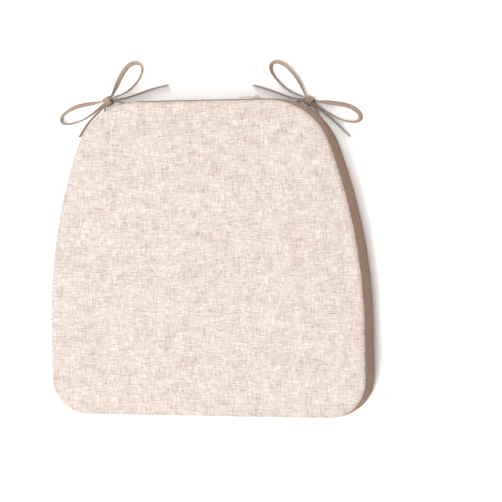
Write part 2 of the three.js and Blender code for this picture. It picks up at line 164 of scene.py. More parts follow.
def closeMaterial(start, sockets):
    surface = start.node("BsdfPrincipled", None, sockets)
    start.node("OutputMaterial", None, {"Surface": surface})


linen = {
    "pitch": 0.00095,  # yarn to yarn
    "slubLength": 0.012,
    "slubContrast": 2.5,
    "cloudSize": 0.012,
    "pale": (0.70, 0.655, 0.625),
    "middle": (0.55, 0.49, 0.452),
    "tan": (0.36, 0.262, 0.195),
    "blush": (0.575, 0.465, 0.405),  # warmer yarns
    "blushShare": 0.7,
    "groove": 0.25,  # painted shade between the yarns
    "relief": 0.00024,
    "sheen": 0.12,
}
# painted shade: the band and the plackets wear the face's linen made darker and browner, standing for the
# shade on the pad's sides
bandLinenPaintedShade = {
    **linen,
    "pale": (0.37, 0.250, 0.176),
    "middle": (0.30, 0.193, 0.130),
    "tan": (0.217, 0.133, 0.087),
    "blush": (0.30, 0.180, 0.117),
    "slubContrast": 1.2,
}
# the ties' cloth is partly their own darker tone and partly painted shade for the edges and loops that stand
# up off the floor
tieLinenToneAndShade = {
    **linen,
    "pitch": 0.0007,
    "slubLength": 0.007,
    "cloudSize": 0.02,
    "pale": (0.44, 0.345, 0.278),
    "middle": (0.325, 0.245, 0.19),
    "tan": (0.185, 0.13, 0.097),
    "blush": (0.34, 0.24, 0.178),
    "slubContrast": 1.6,
    "relief": 0.00014,
    "sheen": 0.08,
}
tapeCloth = {
    **linen,
    "pitch": 0.0005,
    "slubLength": 0.03,
    "pale": (0.70, 0.60, 0.52),
    "middle": (0.63, 0.53, 0.45),
    "tan": (0.50, 0.41, 0.34),
    "blush": (0.63, 0.50, 0.41),
    "slubContrast": 1.0,
    "relief": 0.00010,
}


def wovenMaterial(name, cloth, laid=None):
    # a plain weave of slubby yarns; laid names the attribute that holds the cloth's own flat coordinates
    material, start = newMaterial(name)
    if laid:
        flat = start.node("Attribute", {"attribute_name": laid}, None, 1)
    else:
        flat = start.node("TexCoord", None, None, 3)
    x = start.node("SeparateXYZ", None, {0: flat}, 0)
    y = start.node("SeparateXYZ", None, {0: flat}, 1)
    warp = (x / cloth["pitch"]).floor()
    weft = (y / cloth["pitch"]).floor()

    def yarnTone(along, number, salt):
        place = start.node("CombineXYZ", None, {0: along / cloth["slubLength"], 1: number * 3.71, 2: salt})
        return start.node("TexNoise", None, {"Vector": place, "Scale": 1.0, "Detail": 3.0, "Roughness": 0.65})

    acrossTone = yarnTone(x, weft, 4.3)
    upTone = yarnTone(y, warp, 9.1)
    over = ((warp + weft) / 2).fraction() * 2
    tone = acrossTone.blend(upTone, over)
    cloud = start.node("TexNoise", None, {"Vector": flat, "Scale": 1 / cloth["cloudSize"], "Detail": 3.0})
    mixed = 0.5 + (tone * 0.85 + cloud * 0.15 - 0.5) * cloth["slubContrast"]
    stops = [(0.20, cloth["tan"]), (0.47, cloth["middle"]), (0.74, cloth["pale"])]
    colour = start.node("ValToRGB", {"stops": stops}, {0: mixed})
    warmth = start.node("TexNoise", None, {"Vector": flat, "Scale": 160.0, "Detail": 2.0, "Roughness": 0.7})
    colour = colour.tint(cloth["blush"], warmth.within(0.42, 0.68) * cloth["blushShare"])
    u = (x / cloth["pitch"]).fraction() - 0.5
    v = (y / cloth["pitch"]).fraction() - 0.5
    height = (1 - v * v * 4).blend(1 - u * u * 4, over) * (0.75 + tone * 0.5)
    normal = start.node("Bump", None, {"Strength": 0.8, "Distance": cloth["relief"], "Height": height})
    closeMaterial(
        start,
        {
            # painted shade: the colour darkens towards tan where the yarns dip
            "Base Color": colour.tint(cloth["tan"], (1 - height) * cloth["groove"]),
            "Roughness": 0.92,
            "Sheen Weight": cloth["sheen"],
            "Sheen Roughness": 0.5,
            "Specular IOR Level": 0.25,
            "Normal": normal,
        },
    )
    return material


thread = {"colour": (0.66, 0.55, 0.47), "shade": (0.42, 0.33, 0.27), "twist": 0.0007}


def threadMaterial():
    material, start = newMaterial("sewing_thread")
    place = start.node("TexCoord", None, None, 3)
    settings = {"wave_type": "BANDS", "bands_direction": "DIAGONAL"}
    sockets = {"Vector": place, "Scale": 1 / thread["twist"] / 6, "Distortion": 1.0}
    twist = start.node("TexWave", settings, sockets)
    tone = start.node("ValToRGB", {"stops": [(0.1, thread["shade"]), (0.7, thread["colour"])]}, {0: twist})
    normal = start.node("Bump", None, {"Strength": 0.5, "Distance": 0.00008, "Height": twist})
    closeMaterial(start, {"Base Color": tone, "Roughness": 0.6, "Sheen Weight": 0.2, "Normal": normal})
    return material


enamel = {"colour": (0.56, 0.47, 0.40), "worn": (0.50, 0.41, 0.34), "roughness": 0.34, "scratchSize": 0.0012}


def enamelMaterial():
    material, start = newMaterial("zip_enamel")
    place = start.node("TexCoord", None, None, 3)
    patches = start.node("TexNoise", None, {"Vector": place, "Scale": 420.0, "Detail": 5.0, "Roughness": 0.7})
    stretched = start.node("Mapping", None, {"Vector": place, "Scale": (1.0, 9.0, 9.0)})
    fine = 1 / enamel["scratchSize"]
    lines = start.node("TexNoise", None, {"Vector": stretched, "Scale": fine, "Detail": 2.0})
    stops = [(0.35, enamel["worn"]), (0.6, enamel["colour"])]
    colour = start.node("ValToRGB", {"stops": stops}, {0: patches})
    normal = start.node("Bump", None, {"Strength": 0.25, "Distance": 0.00003, "Height": lines})
    roughness = enamel["roughness"] + patches.within(0.4, 0.7) * 0.14
    closeMaterial(start, {"Base Color": colour, "Roughness": roughness, "Coat Weight": 0.3, "Normal": normal})
    return material


nylon = {"colour": (0.70, 0.62, 0.54), "shade": (0.52, 0.44, 0.37)}


def nylonMaterial():
    material, start = newMaterial("nylon_coil")
    place = start.node("TexCoord", None, None, 3)
    cloud = start.node("TexNoise", None, {"Vector": place, "Scale": 900.0, "Detail": 2.0})
    colour = start.node("ValToRGB", {"stops": [(0.3, nylon["shade"]), (0.65, nylon["colour"])]}, {0: cloud})
    normal = start.node("Bump", None, {"Strength": 0.2, "Distance": 0.00004, "Height": cloud})
    closeMaterial(start, {"Base Color": colour, "Roughness": 0.42, "Normal": normal})
    return material


foam = {"colour": (0.88, 0.82, 0.58), "cell": (0.66, 0.58, 0.36), "cellSize": 0.0016}
wadding = {"colour": (0.93, 0.92, 0.89), "shade": (0.80, 0.79, 0.75), "fibreSize": 0.0011}


def foamMaterial():
    material, start = newMaterial("polyether_foam")
    place = start.node("TexCoord", None, None, 3)
    cells = start.node("TexVoronoi", {"feature": "F1"}, {"Vector": place, "Scale": 1 / foam["cellSize"]})
    cloud = start.node("TexNoise", None, {"Vector": place, "Scale": 40.0, "Detail": 3.0})
    stops = [(0.0, foam["cell"]), (0.35, foam["colour"])]
    colour = start.node("ValToRGB", {"stops": stops}, {0: cells + cloud * 0.1})
    normal = start.node("Bump", None, {"Strength": 0.7, "Distance": 0.0004, "Height": cells})
    closeMaterial(start, {"Base Color": colour, "Roughness": 0.95, "Normal": normal})
    return material


def waddingMaterial():
    material, start = newMaterial("polyester_wadding")
    place = start.node("TexCoord", None, None, 3)
    bent = start.node("TexNoise", None, {"Vector": place, "Scale": 70.0, "Detail": 2.0}, 1)
    sockets = {0: bent, 1: (0.012, 0.012, 0.012), 2: place}
    pulled = start.node("VectorMath", {"operation": "MULTIPLY_ADD"}, sockets)
    stretched = start.node("Mapping", None, {"Vector": pulled, "Scale": (0.25, 1.0, 1.0)})
    fine = 1 / wadding["fibreSize"]
    fibre = start.node("TexNoise", None, {"Vector": stretched, "Scale": fine, "Detail": 3.0})
    stops = [(0.35, wadding["shade"]), (0.6, wadding["colour"])]
    colour = start.node("ValToRGB", {"stops": stops}, {0: fibre})
    normal = start.node("Bump", None, {"Strength": 0.8, "Distance": 0.0006, "Height": fibre})
    closeMaterial(start, {"Base Color": colour, "Roughness": 0.9, "Sheen Weight": 0.3, "Normal": normal})
    return material


faceCloth = wovenMaterial("linen_face", linen)
# the band and the plackets get the darker linen that paints their shade
bandClothPaintedShade = wovenMaterial("linen_band", bandLinenPaintedShade, "laid")
strapClothToneAndShade = wovenMaterial("linen_ties_tone_and_shade", tieLinenToneAndShade, "laid")
tapeWeave = wovenMaterial("zip_tape_weave", tapeCloth, "laid")
sewingThread = threadMaterial()
zipEnamel = enamelMaterial()
nylonCoil = nylonMaterial()
print("materials made")


def newObject(name, points, faces, material=None):
    mesh = bpy.data.meshes.new(name)
    mesh.from_pydata(np.asarray(points).tolist(), [], [[int(i) for i in face] for face in faces])
    mesh.update()
    mesh.polygons.foreach_set("use_smooth", [True] * len(mesh.polygons))
    if material:
        mesh.materials.append(material)
    made = bpy.data.objects.new(name, mesh)
    bpy.context.collection.objects.link(made)
    return made


def setAttribute(obj, name, values):
    values = np.asarray(values, float)
    single = values.ndim == 1
    made = obj.data.attributes.new(name, "FLOAT" if single else "FLOAT_VECTOR", "POINT")
    made.data.foreach_set("value" if single else "vector", values.ravel())


def readAttribute(mesh, name):
    values = np.empty(len(mesh.vertices), np.float32)
    mesh.attributes[name].data.foreach_get("value", values)
    return values.astype(float)


def readPoints(mesh):
    values = np.empty(len(mesh.vertices) * 3, np.float32)
    mesh.vertices.foreach_get("co", values)
    return values.reshape(-1, 3).astype(float)


def writePoints(mesh, points):
    mesh.vertices.foreach_set("co", points.ravel())
    mesh.update()


def readNormals(mesh):
    values = np.empty(len(mesh.vertices) * 3, np.float32)
    mesh.vertex_normals.foreach_get("vector", values)
    return values.reshape(-1, 3).astype(float)


def applyModifiers(obj):
    graph = bpy.context.evaluated_depsgraph_get()
    mesh = bpy.data.meshes.new_from_object(obj.evaluated_get(graph))
    obj.modifiers.clear()
    old = obj.data
    obj.data = mesh
    bpy.data.meshes.remove(old)


def subdivide(obj):
    made = obj.modifiers.new("finer", "SUBSURF")
    made.levels = made.render_levels = 1
    applyModifiers(obj)


def thicken(obj, thickness):
    made = obj.modifiers.new("thickness", "SOLIDIFY")
    made.thickness = thickness
    made.offset = -1
    made.use_even_offset = False
    applyModifiers(obj)


def addPiece(obj, nodes=(), body="pad"):
    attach(obj, body)
    if nodes:
        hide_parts(*nodes)


def noiseAt(*place):
    return noise.noise(Vector(place))


def tubeFaces(ringCount, size):
    # quads between rings of one size, with one face over each end
    faces = []
    for r in range(ringCount - 1):
        for k in range(size):
            n = (k + 1) % size
            faces.append((r * size + k, r * size + n, (r + 1) * size + n, (r + 1) * size + k))
    faces.append(tuple(range(size))[::-1])
    faces.append(tuple((ringCount - 1) * size + k for k in range(size)))
    return faces


stitch = {"radius": 0.00017, "sides": 6, "bow": 0.00018}


def stitchRow(name, rows):
    # short bowed lengths of thread; each row is (start, end, outward normal)
    points, faces = [], []
    shares = np.array([0.0, 0.12, 0.5, 0.88, 1.0])
    girth = np.array([0.35, 0.9, 1.0, 0.9, 0.35]) * stitch["radius"]
    rise = np.array([-1.0, 0.25, 1.0, 0.25, -1.0]) * stitch["bow"]
    for start, end, normal in rows:
        start, end, normal = Vector(start), Vector(end), Vector(normal).normalized()
        side = (end - start).cross(normal).normalized()
        base = len(points)
        for share, radius, up in zip(shares, girth, rise):
            centre = start.lerp(end, share) + normal * up
            for k in range(stitch["sides"]):
                angle = 2 * math.pi * k / stitch["sides"]
                points.append(centre + (normal * math.cos(angle) + side * math.sin(angle)) * radius)
        faces += [[base + i for i in face] for face in tubeFaces(len(shares), stitch["sides"])]
    made = newObject(name, points, faces, sewingThread)
    addPiece(made)
    return made


# sizes of the cover's plan and section that its box doesn't give
pad = {
    "frontRadius": 0.050,
    "backRadius": 0.090,
    "sideRadius": 0.688,
    "sideTurn": math.radians(20.2),
    "rim": 0.050,  # underside to the rim of the top
    "crown": 0.004,
    "seamDrop": 0.005,  # from the rim and from the underside to each seam
    "seamInset": 0.0012,
    "edgeReach": 0.008,  # how far in the rounded edges end
    "zipWindow": 0.010,
    "cloth": 0.0008,
    "sideSteps": 84,  # grid of the faces, along each side and across
    "frontSteps": 84,
    "edgeSteps": 5,
    "bandSteps": 16,
}
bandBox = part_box("side_band")
padWidth = bandBox[1][0] - bandBox[0][0]
padDepth = bandBox[1][1] - bandBox[0][1]
backY = padDepth / 2
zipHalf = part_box("back_placket_upper")[1][0]
lowSeam = pad["seamDrop"]
highSeam = pad["rim"] - pad["seamDrop"]
midHeight = pad["rim"] / 2

sideCentreX = padWidth / 2 - pad["sideRadius"]
sweep = pad["sideRadius"] - pad["backRadius"]
backCornerX = sideCentreX + sweep * math.cos(pad["sideTurn"])
backCornerY = backY - pad["backRadius"]
sideCentreY = backCornerY - sweep * math.sin(pad["sideTurn"])
frontCornerX = padWidth / 2 - pad["frontRadius"]
frontCornerY = pad["frontRadius"] - backY
quarter = math.pi / 2

# stretches of the right half, from the middle of the front to the middle of the back:
# straight ones as (length, start, direction), arcs as (length, centre, radius, first angle)
stretches = [
    (frontCornerX, (0, -backY), (1, 0)),
    (pad["frontRadius"] * quarter, (frontCornerX, frontCornerY), pad["frontRadius"], -quarter),
    (sideCentreY - frontCornerY, (padWidth / 2, frontCornerY), (0, 1)),
    (pad["sideRadius"] * pad["sideTurn"], (sideCentreX, sideCentreY), pad["sideRadius"], 0),
    (
        pad["backRadius"] * (quarter - pad["sideTurn"]),
        (backCornerX, backCornerY),
        pad["backRadius"],
        pad["sideTurn"],
    ),
    (backCornerX, (backCornerX, backY), (-1, 0)),
]
halfRound = sum(stretch[0] for stretch in stretches)
frontCornerAt = stretches[0][0] + stretches[1][0] / 2
backCornerAt = halfRound - stretches[5][0] - stretches[4][0] / 2


def outlineAt(along):
    # place and outward normal at a length from the middle of the front; to the left is negative
    side = 1 if along >= 0 else -1
    left = min(abs(along), halfRound)
    for stretch in stretches[:-1]:
        if left <= stretch[0]:
            break
        left -= stretch[0]
    else:
        stretch = stretches[-1]
    if len(stretch) == 3:
        (px, py), (dx, dy) = stretch[1:]
        x, y, nx, ny = px + dx * left, py + dy * left, dy, -dx
    else:
        (cx, cy), radius, first = stretch[1:]
        nx, ny = math.cos(first + left / radius), math.sin(first + left / radius)
        x, y = cx + nx * radius, cy + ny * radius
    return side * x, y, side * nx, ny


def roundSteps():
    # lengths along the outline of every grid line, with one at each end of the zip's opening
    spans = [
        (-backCornerAt, -frontCornerAt, pad["sideSteps"]),
        (-frontCornerAt, frontCornerAt, pad["frontSteps"]),
        (frontCornerAt, backCornerAt, pad["sideSteps"]),
        (backCornerAt, 2 * halfRound - backCornerAt, pad["frontSteps"]),
    ]
    steps = np.concatenate([np.linspace(a, b, n, endpoint=False) for a, b, n in spans])
    steps = np.where(steps > halfRound, steps - 2 * halfRound, steps)
    for end in (halfRound - zipHalf, zipHalf - halfRound):
        steps[np.abs(steps - end).argmin()] = end
    return steps


around = roundSteps()
outline = np.array([outlineAt(along) for along in around])
ringSize = len(around)


def ringAt(inset, z):
    return np.column_stack([outline[:, :2] - outline[:, 2:] * inset, np.full(ringSize, z)])


def capIndex():
    # ring points round the edge of the grid that fills a face
    side, front = pad["sideSteps"], pad["frontSteps"]
    index = np.full((front + 1, side + 1), -1)
    index[0, :] = np.arange(side + 1)
    index[:, side] = side + np.arange(front + 1)
    index[front, :] = 2 * side + front - np.arange(side + 1)
    index[:, 0] = (2 * side + 2 * front - np.arange(front + 1)) % ringSize
    return index


def capPoints(ring, crown):
    # fills a ring with a grid that blends its four sides, domed towards the middle
    side, front = pad["sideSteps"], pad["frontSteps"]
    index = capIndex()
    u = np.linspace(0, 1, front + 1)[:, None, None]
    v = np.linspace(0, 1, side + 1)[None, :, None]
    start, end = ring[index[0]][None], ring[index[front]][None]
    back, fore = ring[index[:, 0]][:, None], ring[index[:, side]][:, None]
    corners = (
        (1 - u) * (1 - v) * ring[index[0, 0]]
        + u * (1 - v) * ring[index[front, 0]]
        + (1 - u) * v * ring[index[0, side]]
        + u * v * ring[index[front, side]]
    )
    grid = (1 - u) * start + u * end + (1 - v) * back + v * fore - corners
    angle = np.arctan2(ring[:, 1], ring[:, 0])
    order = np.argsort(angle)
    reach = np.hypot(ring[:, 0], ring[:, 1])[order]
    share = np.hypot(grid[..., 0], grid[..., 1]) / np.interp(
        np.arctan2(grid[..., 1], grid[..., 0]), angle[order], reach, period=2 * math.pi
    )
    grid[..., 2] += crown * np.clip(1 - share**2, 0, 1)
    return grid


def roundedRows(seamZ, faceZ):
    # insets and heights from a seam round to a face
    rows = []
    for i in range(pad["edgeSteps"] + 1):
        angle = quarter * i / pad["edgeSteps"]
        inset = pad["seamInset"] + (pad["edgeReach"] - pad["seamInset"]) * (1 - math.cos(angle))
        rows.append((inset, seamZ + (faceZ - seamZ) * math.sin(angle)))
    return rows


def coverRows():
    band = []
    for i in range(1, pad["bandSteps"]):
        share = 2 * i / pad["bandSteps"] - 1
        z = highSeam + (lowSeam - highSeam) * i / pad["bandSteps"]
        band.append((pad["seamInset"] * share * share, z))
    return roundedRows(highSeam, pad["rim"])[::-1] + band + roundedRows(lowSeam, 0)


def coverShape():
    # the whole cover as rings from the rim of the top down, with a grid over each face
    rows = coverRows()
    rings = np.concatenate([ringAt(inset, z) for inset, z in rows])
    k = np.arange(ringSize)
    after = (k + 1) % ringSize
    faces = []
    for r in range(len(rows) - 1):
        a, b = r * ringSize, (r + 1) * ringSize
        faces.append(np.column_stack([a + k, b + k, b + after, a + after]))
    points, caps, count = [rings], [], len(rings)
    for first, crown, up in ((0, pad["crown"], True), ((len(rows) - 1) * ringSize, 0, False)):
        grid = capPoints(rings[first : first + ringSize], crown)
        index = capIndex() + first
        inner = grid[1:-1, 1:-1].reshape(-1, 3)
        index[1:-1, 1:-1] = count + np.arange(len(inner)).reshape(index[1:-1, 1:-1].shape)
        points.append(inner)
        count += len(inner)
        quads = [index[:-1, :-1], index[:-1, 1:], index[1:, 1:], index[1:, :-1]]
        quads = np.stack(quads if up else quads[::-1], -1).reshape(-1, 4)
        faces.append(quads)
        caps.append((index, quads))
    return np.concatenate(points), np.concatenate(faces), caps


# each row is (along the bow, away from the pad, lift, lean in degrees, width), from the seam to the tail
straps = {
    "thickness": 0.0015,
    "floorGap": 0.0003,
    "step": 0.0011,  # between rings of the strap
    "edgeSeam": 0.31,  # row of stitches, as a share of the width from the middle
    "stitchLength": 0.0020,
    "stitchPitch": 0.0031,
    "tackStitches": 7,  # close stitches across the end that is sewn to the pad
    "wander": 5.0,  # degrees that the strap rolls from its route
    "routes": {
        "rightBackTie": [
            (-0.0155, -0.0086, 0.0014, 90, 0.005), (-0.012, -0.0065, 0.0014, 90, 0.005),
            (-0.0088, -0.0049, 0.0015, 90, 0.0042), (-0.005, -0.003, 0.0019, 90, 0.0034),
            (0, -0.001, 0.0019, 90, 0.0034), (0.005, 0.0009, 0.0019, 90, 0.0034),
            (0.011, 0, 0.0006, 90, 0.0054), (0.021, -0.0016, 0, 90, 0.007), (0.036, -0.0026, 0, 88, 0.007),
            (0.049, -0.0022, 0, 84, 0.007), (0.06, 0.0002, 0, 76, 0.007), (0.068, 0.0044, 0, 66, 0.007),
            (0.0712, 0.0102, 0, 56, 0.007), (0.067, 0.0152, 0, 48, 0.007), (0.058, 0.0176, 0, 42, 0.007),
            (0.048, 0.0172, 0, 40, 0.007), (0.036, 0.014, 0, 42, 0.007), (0.022, 0.009, 0, 52, 0.007),
            (0.012, 0.0052, 0.0006, 74, 0.0054), (0.005, 0.0029, 0.0019, 90, 0.0034),
            (0, 0.001, 0.0019, 90, 0.0034), (-0.005, -0.0009, 0.0019, 90, 0.0034),
            (-0.0088, -0.0025, 0.0013, 90, 0.0044), (-0.013, -0.0042, 0.0005, 90, 0.006),
            (-0.0246, -0.0076, 0, 90, 0.007), (-0.0409, -0.0099, 0, 88, 0.007),
            (-0.0544, -0.0119, 0, 86, 0.007), (-0.0666, -0.0142, 0, 84, 0.007),
            (-0.0775, -0.0168, 0, 82, 0.007),
        ],
        "rightSideTie": [
            (0.018, -0.0089, 0.0014, 90, 0.005), (0.0128, -0.006, 0.0018, 90, 0.0046),
            (0.009, -0.0045, 0.0036, 90, 0.004), (0.005, -0.0029, 0.0056, 90, 0.0034),
            (0, -0.001, 0.0056, 90, 0.0034), (-0.005, 0.0009, 0.0056, 90, 0.0034),
            (-0.011, 0.0006, 0.0026, 90, 0.0052), (-0.019, -0.0002, 0.0006, 90, 0.007),
            (-0.03, -0.0006, 0, 90, 0.007), (-0.0449, 0.0022, 0, 86, 0.007), (-0.0575, 0.007, 0, 78, 0.007),
            (-0.0652, 0.0129, 0, 68, 0.007), (-0.0672, 0.0189, 0, 58, 0.007), (-0.063, 0.0242, 0, 50, 0.007),
            (-0.0542, 0.0261, 0, 42, 0.007), (-0.0428, 0.024, 0, 40, 0.007), (-0.0302, 0.019, 0, 42, 0.007),
            (-0.018, 0.0116, 0.0008, 56, 0.007), (-0.0105, 0.0062, 0.0032, 78, 0.005),
            (-0.005, 0.0029, 0.0056, 90, 0.0034), (0, 0.001, 0.0056, 90, 0.0034),
            (0.005, -0.0009, 0.0056, 90, 0.0034), (0.009, -0.0021, 0.0034, 90, 0.0044),
            (0.0135, -0.0032, 0.0014, 90, 0.006), (0.0259, -0.0053, 0, 90, 0.007),
            (0.0383, -0.0078, 0, 88, 0.007), (0.0509, -0.0108, 0, 86, 0.007),
            (0.0694, -0.0164, 0, 84, 0.007),
        ],
        "leftBackTie": [
            (-0.023, -0.0167, 0.0014, 90, 0.005), (-0.0165, -0.0116, 0.0014, 90, 0.005),
            (-0.0104, -0.0064, 0.0015, 90, 0.0042), (-0.005, -0.003, 0.0019, 90, 0.0034),
            (0, -0.001, 0.0019, 90, 0.0034), (0.005, 0.0009, 0.0019, 90, 0.0034),
            (0.011, 0, 0.0006, 90, 0.0054), (0.02, -0.0018, 0, 90, 0.007), (0.03, -0.0032, 0, 90, 0.007),
            (0.042, -0.0038, 0, 88, 0.007), (0.054, -0.0022, 0, 84, 0.007), (0.0658, 0.0016, 0, 74, 0.007),
            (0.073, 0.0074, 0, 62, 0.007), (0.0716, 0.0134, 0, 52, 0.007), (0.0617, 0.0166, 0, 42, 0.007),
            (0.0466, 0.0164, 0, 38, 0.007), (0.0337, 0.013, 0, 40, 0.007), (0.02, 0.008, 0, 54, 0.007),
            (0.012, 0.0052, 0.0006, 74, 0.0054), (0.005, 0.0029, 0.0019, 90, 0.0034),
            (0, 0.001, 0.0019, 90, 0.0034), (-0.005, -0.0009, 0.0019, 90, 0.0034),
            (-0.0088, -0.0025, 0.0013, 90, 0.0044), (-0.013, -0.0042, 0.0005, 90, 0.006),
            (-0.024, -0.008, 0, 90, 0.007), (-0.0416, -0.0114, 0, 88, 0.007),
            (-0.0592, -0.0149, 0, 86, 0.007), (-0.071, -0.018, 0, 84, 0.007),
            (-0.0823, -0.0218, 0, 82, 0.007),
        ],
        "leftSideTie": [
            (0.018, -0.01735, 0.0014, 90, 0.005), (0.0138, -0.0124, 0.0018, 90, 0.0046),
            (0.0098, -0.007, 0.0036, 90, 0.004), (0.005, -0.0029, 0.0056, 90, 0.0034),
            (0, -0.001, 0.0056, 90, 0.0034), (-0.005, 0.0009, 0.0056, 90, 0.0034),
            (-0.011, 0.0004, 0.0026, 90, 0.0052), (-0.019, -0.0008, 0.0006, 90, 0.007),
            (-0.0316, -0.0008, 0, 90, 0.007), (-0.0448, 0.0026, 0, 88, 0.007),
            (-0.0549, 0.008, 0, 82, 0.007), (-0.0606, 0.0146, 0, 72, 0.007), (-0.0614, 0.021, 0, 60, 0.007),
            (-0.0565, 0.026, 0, 48, 0.007), (-0.047, 0.0274, 0, 40, 0.007), (-0.038, 0.0248, 0, 38, 0.007),
            (-0.0275, 0.0189, 0, 44, 0.007), (-0.0176, 0.0118, 0.0008, 56, 0.007),
            (-0.0105, 0.0062, 0.0032, 78, 0.005), (-0.005, 0.0029, 0.0056, 90, 0.0034),
            (0, 0.001, 0.0056, 90, 0.0034), (0.005, -0.0009, 0.0056, 90, 0.0034),
            (0.009, -0.0021, 0.0034, 90, 0.0044), (0.0135, -0.0034, 0.0014, 90, 0.006),
            (0.0244, -0.0064, 0, 90, 0.007), (0.0369, -0.0098, 0, 88, 0.007),
            (0.0479, -0.0146, 0, 86, 0.007), (0.0603, -0.0211, 0, 84, 0.007),
        ],
    },
}
bow = {
    "turn": math.radians(28),
    "right": {"standOff": 0.0074, "turn": math.radians(27.7)},  # knot from the outline and from the back edge
    "left": {"standOff": 0.0149, "turn": math.radians(30.1)},
    "knotHeight": 0.0058,
}


def bowFrame(side):
    # centre of a bow on the floor, with its directions along and away from the pad
    knot = bow["right"] if side > 0 else bow["left"]
    reach = pad["backRadius"] + knot["standOff"]
    x = backCornerX + reach * math.sin(knot["turn"])
    y = backCornerY + reach * math.cos(knot["turn"])
    along = Vector((side * math.cos(bow["turn"]), -math.sin(bow["turn"]), 0))
    away = Vector((side * math.sin(bow["turn"]), math.cos(bow["turn"]), 0))
    return Vector((side * x, y, 0)), along, away


def smoothCurve(points, values, perSpan=60):
    # centripetal curve through the points with the values carried along evenly, then spaced by length
    points = [np.array(point, float) for point in points]
    ends = [2 * points[0] - points[1]] + points + [2 * points[-1] - points[-2]]
    shares = np.linspace(0, 1, perSpan, endpoint=False)[:, None]
    places, carried = [], []
    for i in range(len(points) - 1):
        a, b, c, d = ends[i : i + 4]
        ta = 0.0
        tb = ta + math.sqrt(np.linalg.norm(b - a))
        tc = tb + math.sqrt(np.linalg.norm(c - b))
        td = tc + math.sqrt(np.linalg.norm(d - c))
        t = tb + (tc - tb) * shares
        ab = (tb - t) / (tb - ta) * a + (t - ta) / (tb - ta) * b
        bc = (tc - t) / (tc - tb) * b + (t - tb) / (tc - tb) * c
        cd = (td - t) / (td - tc) * c + (t - tc) / (td - tc) * d
        abc = (tc - t) / (tc - ta) * ab + (t - ta) / (tc - ta) * bc
        bcd = (td - t) / (td - tb) * bc + (t - tb) / (td - tb) * cd
        places.append((tc - t) / (tc - tb) * abc + (t - tb) / (tc - tb) * bcd)
        carried.append(np.array(values[i]) * (1 - shares) + np.array(values[i + 1]) * shares)
    places = np.concatenate([*places, [points[-1]]])
    carried = np.concatenate([*carried, [np.array(values[-1], float)]])
    run = np.concatenate([[0], np.cumsum(np.linalg.norm(np.diff(places, axis=0), axis=1))])
    count = int(run[-1] / straps["step"]) + 1
    at = np.linspace(0, run[-1], count)
    places = np.column_stack([np.interp(at, run, places[:, k]) for k in range(3)])
    carried = np.column_stack([np.interp(at, run, carried[:, k]) for k in range(carried.shape[1])])
    return places, carried, at


def strapProfile():
    # across the width and through the thickness, with a shallow groove where the edge is stitched
    top = []
    for i in range(13):
        across = -0.5 * math.cos(math.pi * i / 12)
        height = 0.5 * (1 - abs(2 * across) ** 5) ** 0.5
        groove = 0.10 * math.exp(-(((across - straps["edgeSeam"]) / 0.06) ** 2))
        top.append((across, max(height - groove, 0)))
    return top + [(across, -height) for across, height in top[-2:0:-1]]


def strapMesh(name, places, across, through, width, thickness, run):
    # one strap along its places, each ring set out by its own directions; rounded off at both ends
    profile = strapProfile()
    points, laid = [], []
    for i, place in enumerate(places):
        endShare = min(run[i], run[-1] - run[i]) / 0.0008
        shrink = math.sqrt(max(0.12, 1 - (1 - min(endShare, 1)) ** 2))
        for s, t in profile:
            points.append(place + across[i] * s * width[i] + through[i] * t * thickness * shrink)
            laid.append((run[i], s * width[i] + (0.02 if t < 0 else 0), 0))
    made = newObject(name, points, tubeFaces(len(places), len(profile)), strapClothToneAndShade)
    setAttribute(made, "laid", laid)
    return made


def unit(vectors):
    return vectors / np.linalg.norm(vectors, axis=1)[:, None]


def rolled(tangent, angle, side):
    # directions across and through a strap that leans by an angle from lying flat
    level = unit(np.cross([0, 0, 1], tangent)) * side
    cosine, sine = np.cos(angle)[:, None], np.sin(angle)[:, None] * side
    across = level * cosine + np.cross(tangent, level) * sine
    return across, np.cross(tangent, across)


def tieStitches(name, places, across, through, width, run):
    # a running stitch along one edge, showing on both faces
    rows = []
    at = 0.004
    while at + straps["stitchLength"] < run[-1] - 0.002:
        i = int(at / run[-1] * (len(run) - 1))
        j = int((at + straps["stitchLength"]) / run[-1] * (len(run) - 1))
        edge = places + across * (straps["edgeSeam"] * width)[:, None]
        for face in (1, -1):
            rows.append((*[edge[k] + through[k] * face * 0.00066 for k in (i, j)], through[i] * face))
        at += straps["stitchPitch"]
    reach = across[1] * width[1] * 0.4
    for k in range(straps["tackStitches"]):
        middle = places[1] + (places[2] - places[1]) * k * 0.4
        for face in (1, -1):
            lifted = middle + through[1] * face * 0.0008
            rows.append((lifted - reach, lifted + reach, through[1] * face))
    return stitchRow(name, rows)


knotTurns = {
    "count": 150,
    "from": -0.30,  # in turns
    "to": 2.22,
    "halfAcross": 0.0052,
    "halfTall": 0.0043,
    "squareness": 2.6,
    "spread": 0.0060,  # along the bow, from the first turn to the last
    "width": 0.0062,
    "thickness": 0.0014,
    "fold": 0.00022,
}


